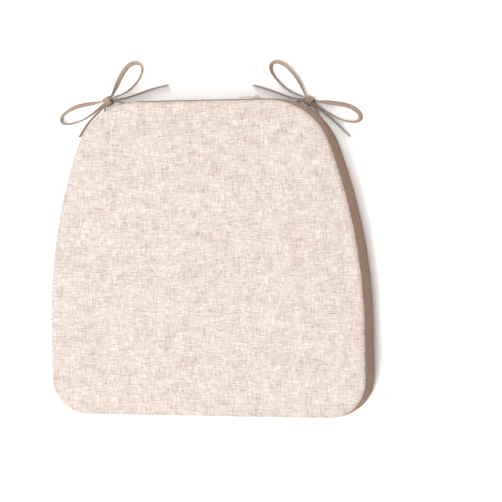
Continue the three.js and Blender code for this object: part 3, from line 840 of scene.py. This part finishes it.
def wrapKnot(name, side, seed):
    # two snug turns of strap round the crossing, the second riding over the edge of the first
    centre, along, away = bowFrame(side)
    count, square = knotTurns["count"], knotTurns["squareness"]
    turn = np.linspace(knotTurns["from"], knotTurns["to"], count)
    angle = turn * 2 * math.pi
    share = (turn - turn[0]) / (turn[-1] - turn[0])
    swell = 1 + 0.10 * share + 0.03 * np.array([noiseAt(a * 0.7, seed, 1.1) for a in angle])
    shape = (np.abs(np.cos(angle)) ** square + np.abs(np.sin(angle)) ** square) ** (-1 / square)
    outward = knotTurns["halfAcross"] * np.cos(angle) * shape * swell
    upward = knotTurns["halfTall"] * np.sin(angle) * shape * swell
    slide = knotTurns["spread"] * (share - 0.5) + 0.0011 * np.sin(angle + 0.6)
    basis = np.array([along, away, (0, 0, 1)])
    middle = np.array(centre) + np.array([0, 0, bow["knotHeight"]])
    places = middle + np.column_stack([slide, outward, upward]) @ basis
    run = np.concatenate([[0], np.cumsum(np.linalg.norm(np.diff(places, axis=0), axis=1))])
    tangent = unit(np.gradient(places, axis=0))
    out = unit(np.column_stack([np.zeros(count), outward * 1.2, upward * 1.2]) @ basis)
    across = unit(np.cross(tangent, out))
    lean = np.radians(10) * np.sin(angle * 1.5 + seed)[:, None]
    across = unit(across * np.cos(lean) + out * np.sin(lean))
    through = np.cross(across, tangent)
    ends = np.clip(np.minimum(share, 1 - share) / 0.12, 0, 1)
    width = (knotTurns["width"] + 0.0007 * np.sin(angle * 2.3 + seed)) * (0.55 + 0.45 * ends)
    made = strapMesh(name + "_turns", places, across, through, width, knotTurns["thickness"], run)
    points = readPoints(made.data)
    normals = readNormals(made.data)
    local = points - middle
    fold = [noiseAt(p[0] * 90, p[1] * 420, p[2] * 200 + seed) for p in local @ basis.T]
    points += normals * (knotTurns["fold"] * np.array(fold))[:, None]
    points[:, 2] = np.maximum(points[:, 2], 0.0002)
    writePoints(made.data, points)
    subdivide(made)
    addPiece(made, [name])
    return made


def makeTie(name, side, rows):
    centre, alongBow, awayBow = bowFrame(side)
    half = straps["thickness"] / 2
    route, values = [], []
    for along, away, lift, lean, width in rows:
        angle = math.radians(lean)
        height = straps["floorGap"] + width / 2 * math.sin(angle) + half * math.cos(angle) + lift
        route.append(centre + alongBow * along + awayBow * away + Vector((0, 0, height)))
        values.append((angle, width))
    places, carried, run = smoothCurve(route, values)
    seed = len(rows) * 1.7 + side * 3.1
    wander = np.array([noiseAt(at / 0.03, seed, 0.5) for at in run]) * math.radians(straps["wander"])
    free = np.clip((carried[:, 1] - 0.0055) / 0.0015, 0, 1)
    tangent = unit(np.gradient(places, axis=0))
    across, through = rolled(tangent, carried[:, 0] - np.abs(wander) * free, side)
    waver = np.array([noiseAt(at / 0.008, seed, 7.5) for at in run]) * 0.00016 * free
    places = places + through * waver[:, None]
    width = carried[:, 1] * (1 + 0.03 * np.array([noiseAt(at / 0.012, seed, 3.5) for at in run]))
    made = strapMesh(name + "_strap", places, across, through, width, straps["thickness"], run)
    points = readPoints(made.data)
    points[:, 2] = np.maximum(points[:, 2], 0.0002)
    writePoints(made.data, points)
    addPiece(made, [name])
    stitches = tieStitches(name + "_stitches", places, across, through, width, run)
    [tuple(place) for place in places[::4]] + [tuple(places[-1])]
    print(name, "is", round(run[-1] * 1000), "mm long")


def makeTies():
    for side, label in ((1, "right"), (-1, "left")):
        knot = wrapKnot(label + "_knot", side, 2.0 + side)
        makeTie(label + "_back_tie", side, straps["routes"][label + "BackTie"])
        makeTie(label + "_side_tie", side, straps["routes"][label + "SideTie"])


makeTies()


swelling = {
    "pressure": 3.0,
    "frames": 18,
    "topCap": 0.0016,  # most that the top and the band may rise
    "bandCap": 0.0012,
    "sink": 0.00015,  # most that any of it may fall
    "lumps": 0.0004,
}
puckers = {
    "depth": 0.00042,
    "fade": 0.008,  # how far from a seam they die away
    "spacing": 0.011,
    "sag": 0.0006,  # slow unevenness of the whole cover
    "sagSize": 0.075,
}


def swollenCover():
    # the cover blown up with its seams and its underside held, each point's move then capped
    points, faces, caps = coverShape()
    start = points.copy()
    start[:, 2] += [swelling["lumps"] * noiseAt(*(p / 0.05)) if p[2] > highSeam else 0 for p in points]
    cover = newObject("swell", start, faces)
    normals = readNormals(cover.data)
    held = cover.vertex_groups.new(name="held")
    seams = [pad["edgeSteps"], pad["edgeSteps"] + pad["bandSteps"]]
    held.add([r * ringSize + k for r in seams for k in range(ringSize)], 1.0, "REPLACE")
    held.add([int(i) for i in np.nonzero(points[:, 2] < 1e-6)[0]], 1.0, "REPLACE")
    settings = cover.modifiers.new("cloth", "CLOTH").settings
    settings.quality = 4
    settings.vertex_group_mass = "held"
    settings.mass = 0.2
    settings.tension_stiffness = settings.compression_stiffness = 12
    settings.shear_stiffness = 8
    settings.bending_stiffness = 0.6
    settings.use_pressure = True
    settings.uniform_pressure_force = swelling["pressure"]
    settings.effector_weights.gravity = 0
    scene = bpy.context.scene
    for number in range(1, swelling["frames"] + 1):
        scene.frame_set(number)
    graph = bpy.context.evaluated_depsgraph_get()
    grown = readPoints(cover.evaluated_get(graph).to_mesh())
    scene.frame_set(1)
    bpy.data.objects.remove(cover)
    move = grown - points
    size = np.linalg.norm(move, axis=1)
    print("cover swelled by up to", round(float(size.max()) * 1000, 2), "mm")
    top = points[:, 2] > pad["rim"] - 1e-6
    cap = np.where(top, swelling["topCap"], swelling["bandCap"])
    move *= (cap * np.tanh(size / cap) / np.maximum(size, 1e-9))[:, None]
    move[top, :2] *= 0.3
    outward = normals * np.sign((normals * (points - (0, 0, midHeight))).sum())
    rise = (move * outward).sum(1)
    move += outward * (np.maximum(rise, -swelling["sink"]) - rise)[:, None]
    grown = points + move
    grown[:, 2] = np.maximum(grown[:, 2], 0)
    return grown, caps


def seamDistance(points):
    # roughly how far each point of the cover lies from the nearer seam
    inset = np.full(len(points), 9.0)
    for first in range(0, len(points), 4000):
        apart = points[first : first + 4000, None, :2] - outline[None, :, :2]
        inset[first : first + 4000] = np.sqrt((apart**2).sum(-1).min(1))
    beside = np.minimum(np.abs(points[:, 2] - highSeam), np.abs(points[:, 2] - lowSeam))
    return np.hypot(beside, np.maximum(0, inset - pad["seamInset"]))


def tuck(obj, chosen, steps):
    # folds the chosen open edges in, each step giving how far in and how far along
    work = bmesh.new()
    work.from_mesh(obj.data)
    layer = work.verts.layers.float["along"]
    edges = [edge for edge in work.edges if edge.is_boundary and all(chosen(vert.co) for vert in edge.verts)]
    for inward, shift in steps:
        made = bmesh.ops.extrude_edge_only(work, edges=edges)["geom"]
        edges = [item for item in made if isinstance(item, bmesh.types.BMEdge)]
        for vert in {vert for edge in edges for vert in edge.verts}:
            nx, ny = outlineAt(vert[layer])[2:]
            vert.co += Vector((-nx * inward, -ny * inward, 0)) + Vector(shift)
    bmesh.ops.recalc_face_normals(work, faces=work.faces)
    work.to_mesh(obj.data)
    work.free()


def seamTuck(seamZ, upward):
    steps = [(0.0005, (0, 0, 0.00012 * upward)), (0.0016, (0, 0, 0))]
    return (lambda place: abs(place.z - seamZ) < 0.0013), steps


def hemTuck(height, upward):
    steps = [(0.0004, (0, 0, 0.00015 * upward)), (0.0010, (0, 0, -0.0004 * upward))]
    return (lambda place: abs(place.z - height) < 0.0009), steps


def endTuck(side, outward):
    steps = [(0.0005, (0.0001 * outward, 0, 0)), (0.0016, (0, 0, 0))]
    return (lambda place: abs(place.x - side * zipHalf) < 0.0007 and place.y > backY - 0.004), steps


def addPuckers(obj):
    mesh = obj.data
    points, normals = readPoints(mesh), readNormals(mesh)
    along, seam = readAttribute(mesh, "along"), readAttribute(mesh, "seam")
    fade = np.exp(-seam / puckers["fade"])
    place = outlinePlaces(points)
    small = np.array([noiseAt(a / puckers["spacing"], s / 0.03, 3.3) for a, s in zip(place, seam)])
    slow = np.array([noiseAt(*(p / puckers["sagSize"])) for p in points])
    move = puckers["depth"] * small * fade + puckers["sag"] * slow * (1 - fade)
    move[points[:, 2] < 0.0008] = 0
    points += normals * move[:, None]
    points[:, 2] = np.maximum(points[:, 2], 0)
    writePoints(mesh, points)


def outlinePlaces(points, behind=False):
    # length along the outline beside each point; behind counts on past the middle of the back
    nearest = np.zeros(len(points), int)
    for first in range(0, len(points), 4000):
        apart = points[first : first + 4000, None, :2] - outline[None, :, :2]
        nearest[first : first + 4000] = (apart**2).sum(-1).argmin(1)
    offset = points[:, :2] - outline[nearest, :2]
    slant = offset[:, 1] * outline[nearest, 2] - offset[:, 0] * outline[nearest, 3]
    places = around[nearest] + slant
    return places % (2 * halfRound) if behind else places


def makePanel(name, grown, rows, material, node, cap=None, columns=None, tucks=()):
    # one panel cut out of the swollen cover: grid rows, and either a face's cap or a run of columns
    columns = range(ringSize) if columns is None else columns
    whole = len(columns) == ringSize
    grid = np.array([[row * ringSize + k for k in columns] for row in rows])
    faces = []
    for r in range(len(rows) - 1):
        for k in range(len(columns) if whole else len(columns) - 1):
            n = (k + 1) % len(columns)
            faces.append((grid[r, k], grid[r + 1, k], grid[r + 1, n], grid[r, n]))
    used = set(grid.ravel().tolist())
    if cap:
        faces += [tuple(quad) for quad in cap[1]]
        used |= set(cap[0].ravel().tolist())
    used = np.array(sorted(used))
    faces = [np.searchsorted(used, face) for face in faces]
    made = newObject(name, grown[used], faces, material)
    setAttribute(made, "along", np.where(used < len(coverRows()) * ringSize, around[used % ringSize], 0))
    for chosen, steps in tucks:
        tuck(made, chosen, steps)
    subdivide(made)
    points = readPoints(made.data)
    setAttribute(made, "seam", seamDistance(points))
    places = outlinePlaces(points, len(columns) < 90)
    setAttribute(made, "laid", np.column_stack([places, points[:, 2], points[:, 2] * 0]))
    addPuckers(made)
    thicken(made, pad["cloth"])
    addPiece(made, [node])
    return made


def isBehindZip(k, reach):
    return outline[k, 1] > backY - 1e-6 and abs(outline[k, 0]) < reach


def makeCover():
    grown, caps = swollenCover()
    high, low = pad["edgeSteps"], pad["edgeSteps"] + pad["bandSteps"]
    lipRows = round(pad["bandSteps"] * (highSeam - midHeight - pad["zipWindow"] / 2) / (highSeam - lowSeam))
    topRows, bottomRows = range(high + 1), range(low, len(coverRows()))
    folds = [seamTuck(highSeam, 1)]
    makePanel("top_cover", grown, topRows, faceCloth, "top_panel", caps[0], None, folds)
    folds = [seamTuck(lowSeam, -1)]
    makePanel("bottom_cover", grown, bottomRows, faceCloth, "bottom_panel", caps[1], None, folds)
    seams = [seamTuck(highSeam, -1), seamTuck(lowSeam, 1)]
    columns = [k for k in range(ringSize) if not isBehindZip(k, zipHalf - 1e-5)]
    first = next(i for i, k in enumerate(columns) if columns[i - 1] != (k - 1) % ringSize)
    columns = columns[first:] + columns[:first]
    folds = [*seams, endTuck(1, 1), endTuck(-1, -1)]
    bandRows = range(high, low + 1)
    makePanel("side_cover", grown, bandRows, bandClothPaintedShade, "side_band", None, columns, folds)
    columns = [k for k in range(ringSize) if isBehindZip(k, zipHalf + 1e-5)]
    ends = [endTuck(1, -1), endTuck(-1, 1)]
    lips = midHeight + pad["zipWindow"] / 2, midHeight - pad["zipWindow"] / 2
    upperRows, lowerRows = range(high, high + lipRows + 1), range(low - lipRows, low + 1)
    for name, rows, node, folds in (
        ("upper_placket", upperRows, "back_placket_upper", [seams[0], hemTuck(lips[0], 1), *ends]),
        ("lower_placket", lowerRows, "back_placket_lower", [seams[1], hemTuck(lips[1], -1), *ends]),
    ):
        makePanel(name, grown, rows, bandClothPaintedShade, node, None, columns, folds)
    print("cover made")


makeCover()


def rounded(corners, radius, steps=5):
    # a polygon's outline with each corner turned on a soft curve
    points = []
    count = len(corners)
    for i, corner in enumerate(corners):
        corner = Vector(corner)
        before = (Vector(corners[i - 1]) - corner).normalized() * radius + corner
        after = (Vector(corners[(i + 1) % count]) - corner).normalized() * radius + corner
        for j in range(steps + 1):
            t = j / steps
            points.append(before * (1 - t) ** 2 + corner * 2 * t * (1 - t) + after * t**2)
    return points


def cutPlate(outlines, low, high, bevel):
    # a flat plate with bevelled edges; outlines are (along x, up z), the first one's holes after it
    scale = 1000
    curve = bpy.data.curves.new("plate", "CURVE")
    curve.dimensions = "2D"
    curve.fill_mode = "BOTH"
    curve.extrude = ((high - low) / 2 - bevel) * scale
    curve.bevel_depth = bevel * scale
    curve.offset = -bevel * scale
    curve.bevel_resolution = 2
    for outline in outlines:
        spline = curve.splines.new("POLY")
        spline.points.add(len(outline) - 1)
        for point, (x, z) in zip(spline.points, outline):
            point.co = (x * scale, z * scale, 0, 1)
        spline.use_cyclic_u = True
    made = bpy.data.objects.new("plate", curve)
    bpy.context.collection.objects.link(made)
    graph = bpy.context.evaluated_depsgraph_get()
    mesh = bpy.data.meshes.new_from_object(made.evaluated_get(graph))
    bpy.data.objects.remove(made)
    stand = Matrix(((1, 0, 0, 0), (0, 0, -1, (low + high) / 2 * scale), (0, 1, 0, 0), (0, 0, 0, 1)))
    mesh.transform(Matrix.Scale(1 / scale, 4) @ stand)
    return mesh


def barMesh(places, across, through, squareness=4, sides=16):
    # a bar with a soft square section; across and through give each ring's half sizes and directions
    points = []
    for i, place in enumerate(places):
        for k in range(sides):
            angle = 2 * math.pi * (k + 0.5) / sides
            c, s = math.cos(angle), math.sin(angle)
            reach = (abs(c) ** squareness + abs(s) ** squareness) ** (-1 / squareness)
            points.append(place + (across[i] * c + through[i] * s) * reach)
    mesh = bpy.data.meshes.new("bar")
    mesh.from_pydata([tuple(point) for point in points], [], tubeFaces(len(places), sides))
    return mesh


def straightBar(start, end, across, through, steps=7, squareness=4):
    # a straight bar with rounded ends
    start, end, across, through = (np.array(v, float) for v in (start, end, across, through))
    length = np.linalg.norm(end - start)
    nose = min(np.linalg.norm(across), np.linalg.norm(through))
    shares = [nose / length * (1 - math.cos(quarter * i / 3)) for i in range(3)]
    sizes = [max(0.25, math.sin(quarter * i / 3)) for i in range(3)]
    middle = list(np.linspace(nose / length, 1 - nose / length, steps))
    shares = shares + middle + [1 - share for share in shares[::-1]]
    sizes = sizes + [1.0] * steps + sizes[::-1]
    places = [start + (end - start) * share for share in shares]
    return barMesh(places, [across * size for size in sizes], [through * size for size in sizes], squareness)


def joinMeshes(name, meshes, material):
    work = bmesh.new()
    for mesh in meshes:
        work.from_mesh(mesh)
        bpy.data.meshes.remove(mesh)
    bmesh.ops.remove_doubles(work, verts=work.verts, dist=2e-7)
    bmesh.ops.recalc_face_normals(work, faces=work.faces)
    mesh = bpy.data.meshes.new(name)
    work.to_mesh(mesh)
    work.free()
    mesh.polygons.foreach_set("use_smooth", [True] * len(mesh.polygons))
    mesh.set_sharp_from_angle(angle=math.radians(40))
    mesh.materials.append(material)
    made = bpy.data.objects.new(name, mesh)
    bpy.context.collection.objects.link(made)
    return made


zipper = {
    "coilPitch": 0.00125,
    "wire": 0.00031,
    "head": 1.45,  # swelling of the wire where it meets the other row
    "meeting": 0.00033,  # from the middle of the chain to each row
    "web": 0.00045,
    "plate": 0.0010,
    "lip": 0.00024,  # half thickness of the slider's edges
    "bridgeHalf": (0.0008, 0.00045),
    "pullBevel": 0.0002,
    "sewingGap": 0.0007,  # from each coil to the stitches that hold it
    "sewingPitch": 0.0021,
    "sewingLength": 0.0016,
    "topstitch": 0.0024,  # from each lip of the opening
    "stitchPitch": 0.0032,
    "stitchLength": 0.0025,
    "tapeSteps": 150,
    "tapeWaver": 0.00008,
    "coilSteps": 12,  # to each turn
    "coilSides": 6,
}


def makeTape(name, node):
    low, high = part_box(node)
    half = (high - low) / 2
    middle = (low + high) / 2
    steps, waver = zipper["tapeSteps"], zipper["tapeWaver"]
    places = []
    for i in range(steps + 1):
        y = middle.y - waver + noiseAt(i / 9.0, middle.z * 900, 5.5) * waver
        places.append(np.array((low.x + (high.x - low.x) * i / steps, y, middle.z)))
    across = [np.array((0, 0, half.z))] * (steps + 1)
    through = [np.array((0, half.y * 0.8, 0))] * (steps + 1)
    made = joinMeshes(name, [barMesh(places, across, through, 9, 32)], tapeWeave)
    points = readPoints(made.data)
    setAttribute(made, "laid", np.column_stack([points[:, 0], points[:, 2], points[:, 1] * 0]))
    addPiece(made, [node])


def makeCoil(name, node, up):
    # one continuous spiral of nylon, its loops a little swollen where they meet the other row's
    low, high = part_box(node)
    wire = zipper["wire"]
    inner = midHeight + up * (zipper["meeting"] + wire)
    outer = (high.z if up > 0 else low.z) - up * wire
    halfTall, halfDeep = abs(outer - inner) / 2, (high.y - low.y) / 2 - wire
    turns = int((high.x - low.x - 2 * wire) / zipper["coilPitch"])
    steps, sides = zipper["coilSteps"], zipper["coilSides"]
    count = turns * steps
    points = []
    phase = 0.25 * up
    for i in range(count + 1):
        turn = 2 * math.pi * (i / steps + phase)
        c, s = math.cos(turn), math.sin(turn)
        reach = (abs(c) ** 3 + abs(s) ** 3) ** (-1 / 3)
        x = low.x + wire + zipper["coilPitch"] * (i / steps + 0.5)
        z = (inner + outer) / 2 - up * halfTall * c * reach
        y = (low.y + high.y) / 2 + halfDeep * s * reach
        centre = Vector((x, y, z))
        outward = Vector((0, halfDeep * s, -up * halfTall * c)).normalized()
        thick = wire * (1 + (zipper["head"] - 1) * max(0, c) ** 6)
        for k in range(sides):
            angle = 2 * math.pi * k / sides
            spread = thick if abs(math.cos(angle)) < 0.9 else wire
            sideways = Vector((math.sin(angle) * spread, 0, 0))
            points.append(centre + outward * math.cos(angle) * wire + sideways)
    made = newObject(name, points, tubeFaces(count + 1, sides), nylonCoil)
    addPiece(made, [node])
    sewn = []
    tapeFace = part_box("zip_tape_upper")[1].y
    z = high.z + zipper["sewingGap"] if up > 0 else low.z - zipper["sewingGap"]
    for i in range(int((high.x - low.x) / zipper["sewingPitch"])):
        x = low.x + zipper["sewingPitch"] * i
        sewn.append(((x, tapeFace, z), (x + zipper["sewingLength"], tapeFace, z), (0, 1, 0)))
    stitchRow(name + "_sewing", sewn)


def makeStop(name, node):
    # a clamped metal stop with two pinches across it
    low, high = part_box(node)
    middle, half = (low + high) / 2, (high - low) / 2
    places, across, through = [], [], []
    for i in range(25):
        t = i / 24
        end = math.sqrt(max(0.1, 1 - abs(2 * t - 1) ** 10))
        pinch = 1 - 0.10 * (0.5 + 0.5 * math.cos(2 * math.pi * (t * 3 + 0.5)))
        places.append(np.array((middle.x, middle.y, low.z + (high.z - low.z) * t)))
        across.append(np.array((half.x * end * pinch, 0, 0)))
        through.append(np.array((0, half.y * end * pinch, 0)))
    addPiece(joinMeshes(name, [barMesh(places, across, through, 3.5)], zipEnamel), [node])


def makeSlider():
    low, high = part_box("zip_slider")
    x, z = (low.x + high.x) / 2, midHeight
    halfLong, halfTall = (high.x - low.x) / 2, (high.z - low.z) / 2
    inner, outer = low.y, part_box("zip_coil_upper")[1].y + 0.0003
    plate = zipper["plate"]

    def outline(narrow, wide, inset):
        corners = [
            (x - halfLong + inset, z - narrow),
            (x + halfLong - 0.0012, z - wide),
            (x + halfLong - inset, z - wide * 0.45),
            (x + halfLong - inset, z + wide * 0.45),
            (x + halfLong - 0.0012, z + wide),
            (x - halfLong + inset, z + narrow),
        ]
        return rounded(corners, 0.0011)

    meshes = [
        cutPlate([outline(halfTall * 0.90, halfTall, 0)], outer, outer + plate, 0.00025),
        cutPlate([outline(halfTall * 0.84, halfTall * 0.96, 0.0002)], inner, inner + plate, 0.00025),
    ]
    web = zipper["web"] / 2
    webLow, webHigh = inner + plate * 0.5, outer + plate * 0.5
    webMiddle, webHalf = (webLow + webHigh) / 2, (webHigh - webLow) / 2
    start, end = (x - halfLong * 0.2, webMiddle, z), (x + halfLong * 0.9, webMiddle, z)
    meshes.append(straightBar(start, end, (0, 0, web), (0, webHalf, 0), 5, 6))
    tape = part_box("zip_tape_upper")[1].y + 0.0006
    lipMiddle, lipHalf = (tape + outer + plate * 0.5) / 2, (outer + plate * 0.5 - tape) / 2
    for up in (1, -1):
        start = (x - halfLong * 0.80, lipMiddle, z + up * halfTall * 0.86)
        end = (x + halfLong * 0.62, lipMiddle, z + up * halfTall * 0.90)
        meshes.append(straightBar(start, end, (0, 0, zipper["lip"]), (0, lipHalf, 0)))
    bridgeWide, bridgeThick = zipper["bridgeHalf"]
    rise = high.y - bridgeThick - outer - plate * 0.6
    arch = [(-0.00255, 0), (-0.00255, 0.45), (-0.0022, 0.82), (-0.0012, 0.97), (0, 1.0)]
    arch += [(-along, up) for along, up in arch[-2::-1]]
    places = [np.array((x + along, outer + plate * 0.6 + rise * up, z)) for along, up in arch]
    tangent = unit(np.gradient(np.array(places), axis=0))
    across = [np.array((0, 0, bridgeWide))] * len(places)
    through = [np.array((-t[1], t[0], 0)) * bridgeThick for t in tangent]
    meshes.append(barMesh(places, across, through, 3.5))
    made = joinMeshes("zip_slider_body", meshes, zipEnamel)
    addPiece(made, ["zip_slider"], "zip_slider")


def mirrored(points, z):
    # the lower side of an outline, then its mirror image above the height z
    return points + [(point[0], 2 * z - point[1]) for point in points[::-1]]


def makePull():
    low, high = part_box("zip_pull")
    z, half = midHeight, (high.z - low.z) / 2
    barEnd = high.x
    hole = mirrored([(barEnd - 0.0041, z - half * 0.5), (barEnd - 0.0010, z - half * 0.5)], z)
    neck = [(barEnd, z - half * 0.82), (barEnd - 0.0042, z - half * 0.92), (barEnd - 0.0068, z - half * 0.72)]
    edge = mirrored([*neck, (low.x + 0.006, z - half), (low.x, z - half * 0.92)], z)
    body = [rounded(edge, 0.0013), rounded(hole, 0.0004)]
    meshes = [cutPlate(body, low.y + 0.0001, high.y - 0.0001, zipper["pullBevel"])]
    field = mirrored([(barEnd - 0.0095, z - half * 0.52), (low.x + 0.0022, z - half * 0.62)], z)
    rim = mirrored([(barEnd - 0.0084, z - half * 0.78), (low.x + 0.0008, z - half * 0.90)], z)
    meshes.append(cutPlate([rounded(rim, 0.0010), rounded(field, 0.0008)], low.y, high.y, 0.00012))
    addPiece(joinMeshes("zip_pull_tab", meshes, zipEnamel), ["zip_pull"], "zip_pull")


def makeTopstitching():
    # a line of stitches along each lip of the opening, lying on the cloth
    rows = []
    reach = zipHalf - 0.002
    for placket, up in (("upper_placket", 1), ("lower_placket", -1)):
        cloth = readPoints(bpy.data.objects[placket].data)
        z = midHeight + up * (pad["zipWindow"] / 2 + zipper["topstitch"])
        cloth = cloth[np.abs(cloth[:, 2] - z) < 0.0016]
        for i in range(int(2 * reach / zipper["stitchPitch"])):
            x = -reach + zipper["stitchPitch"] * i
            beside = cloth[np.abs(cloth[:, 0] - x) < 0.003]
            y = float(beside[:, 1].max()) + 0.0001
            rows.append(((x, y, z), (x + zipper["stitchLength"], y, z), (0, 1, 0)))
    stitchRow("zip_topstitching", rows)


def makeZip():
    makeTape("zip_tape_high", "zip_tape_upper")
    makeTape("zip_tape_low", "zip_tape_lower")
    makeCoil("zip_coil_high", "zip_coil_upper", 1)
    makeCoil("zip_coil_low", "zip_coil_lower", -1)
    makeStop("zip_end_left", "zip_stop_left")
    makeStop("zip_end_right", "zip_stop_right")
    makeSlider()
    makePull()
    makeTopstitching()
    print("zip made")


makeZip()


def setCadMaterial(node, material):
    # a better finish on a frame piece whose shape stays
    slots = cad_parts[node].material_slots
    for each in slots:
        each.material = material


foamFinish, waddingFinish = foamMaterial(), waddingMaterial()
setCadMaterial("foam_core", foamFinish)
for node in ("wadding_top", "wadding_bottom", "wadding_side"):
    setCadMaterial(node, waddingFinish)
print("filling finished")


stage = {
    "floor": (0.97, 0.97, 0.97),
    "world": 0.145,
    "lights": {
        "key": {"place": (-1.2, -3.0, 4.8), "size": 3.0, "power": 340, "colour": (1, 1, 1)},
        "top": {"place": (0.0, 0.4, 5.0), "size": 4.0, "power": 160, "colour": (1, 1, 1)},
        "back": {"place": (-1.0, 4.0, 3.2), "size": 2.5, "power": 120, "colour": (1, 1, 1)},
        "warm": {"place": (1.8, 0.9, 0.6), "size": 0.8, "power": 4.5, "colour": (1, 0.62, 0.38)},
    },
}


def makeStage():
    material, start = newMaterial("studio_floor")
    closeMaterial(start, {"Base Color": stage["floor"], "Roughness": 0.9})
    size = 8.0
    corners = [(-size, -size, 0), (size, -size, 0), (size, size, 0), (-size, size, 0)]
    ground = newObject("studio_floor", corners, [(0, 1, 2, 3)], material)
    ground.location.z = -0.0003
    for name, light in stage["lights"].items():
        data = bpy.data.lights.new(name, "AREA")
        data.shape = "DISK"
        data.size = light["size"]
        data.energy = light["power"]
        data.color = light["colour"]
        lamp = bpy.data.objects.new(name, data)
        bpy.context.collection.objects.link(lamp)
        lamp.location = light["place"]
        lamp.rotation_euler = (-Vector(light["place"])).to_track_quat("-Z", "Y").to_euler()
    world = bpy.data.worlds.new("world")
    world.use_nodes = True
    world.node_tree.nodes["Background"].inputs["Color"].default_value = (1, 1, 1, 1)
    world.node_tree.nodes["Background"].inputs["Strength"].default_value = stage["world"]
    bpy.context.scene.world = world
    bpy.context.scene.view_settings.view_transform = "Standard"


makeStage()
print("stage set")
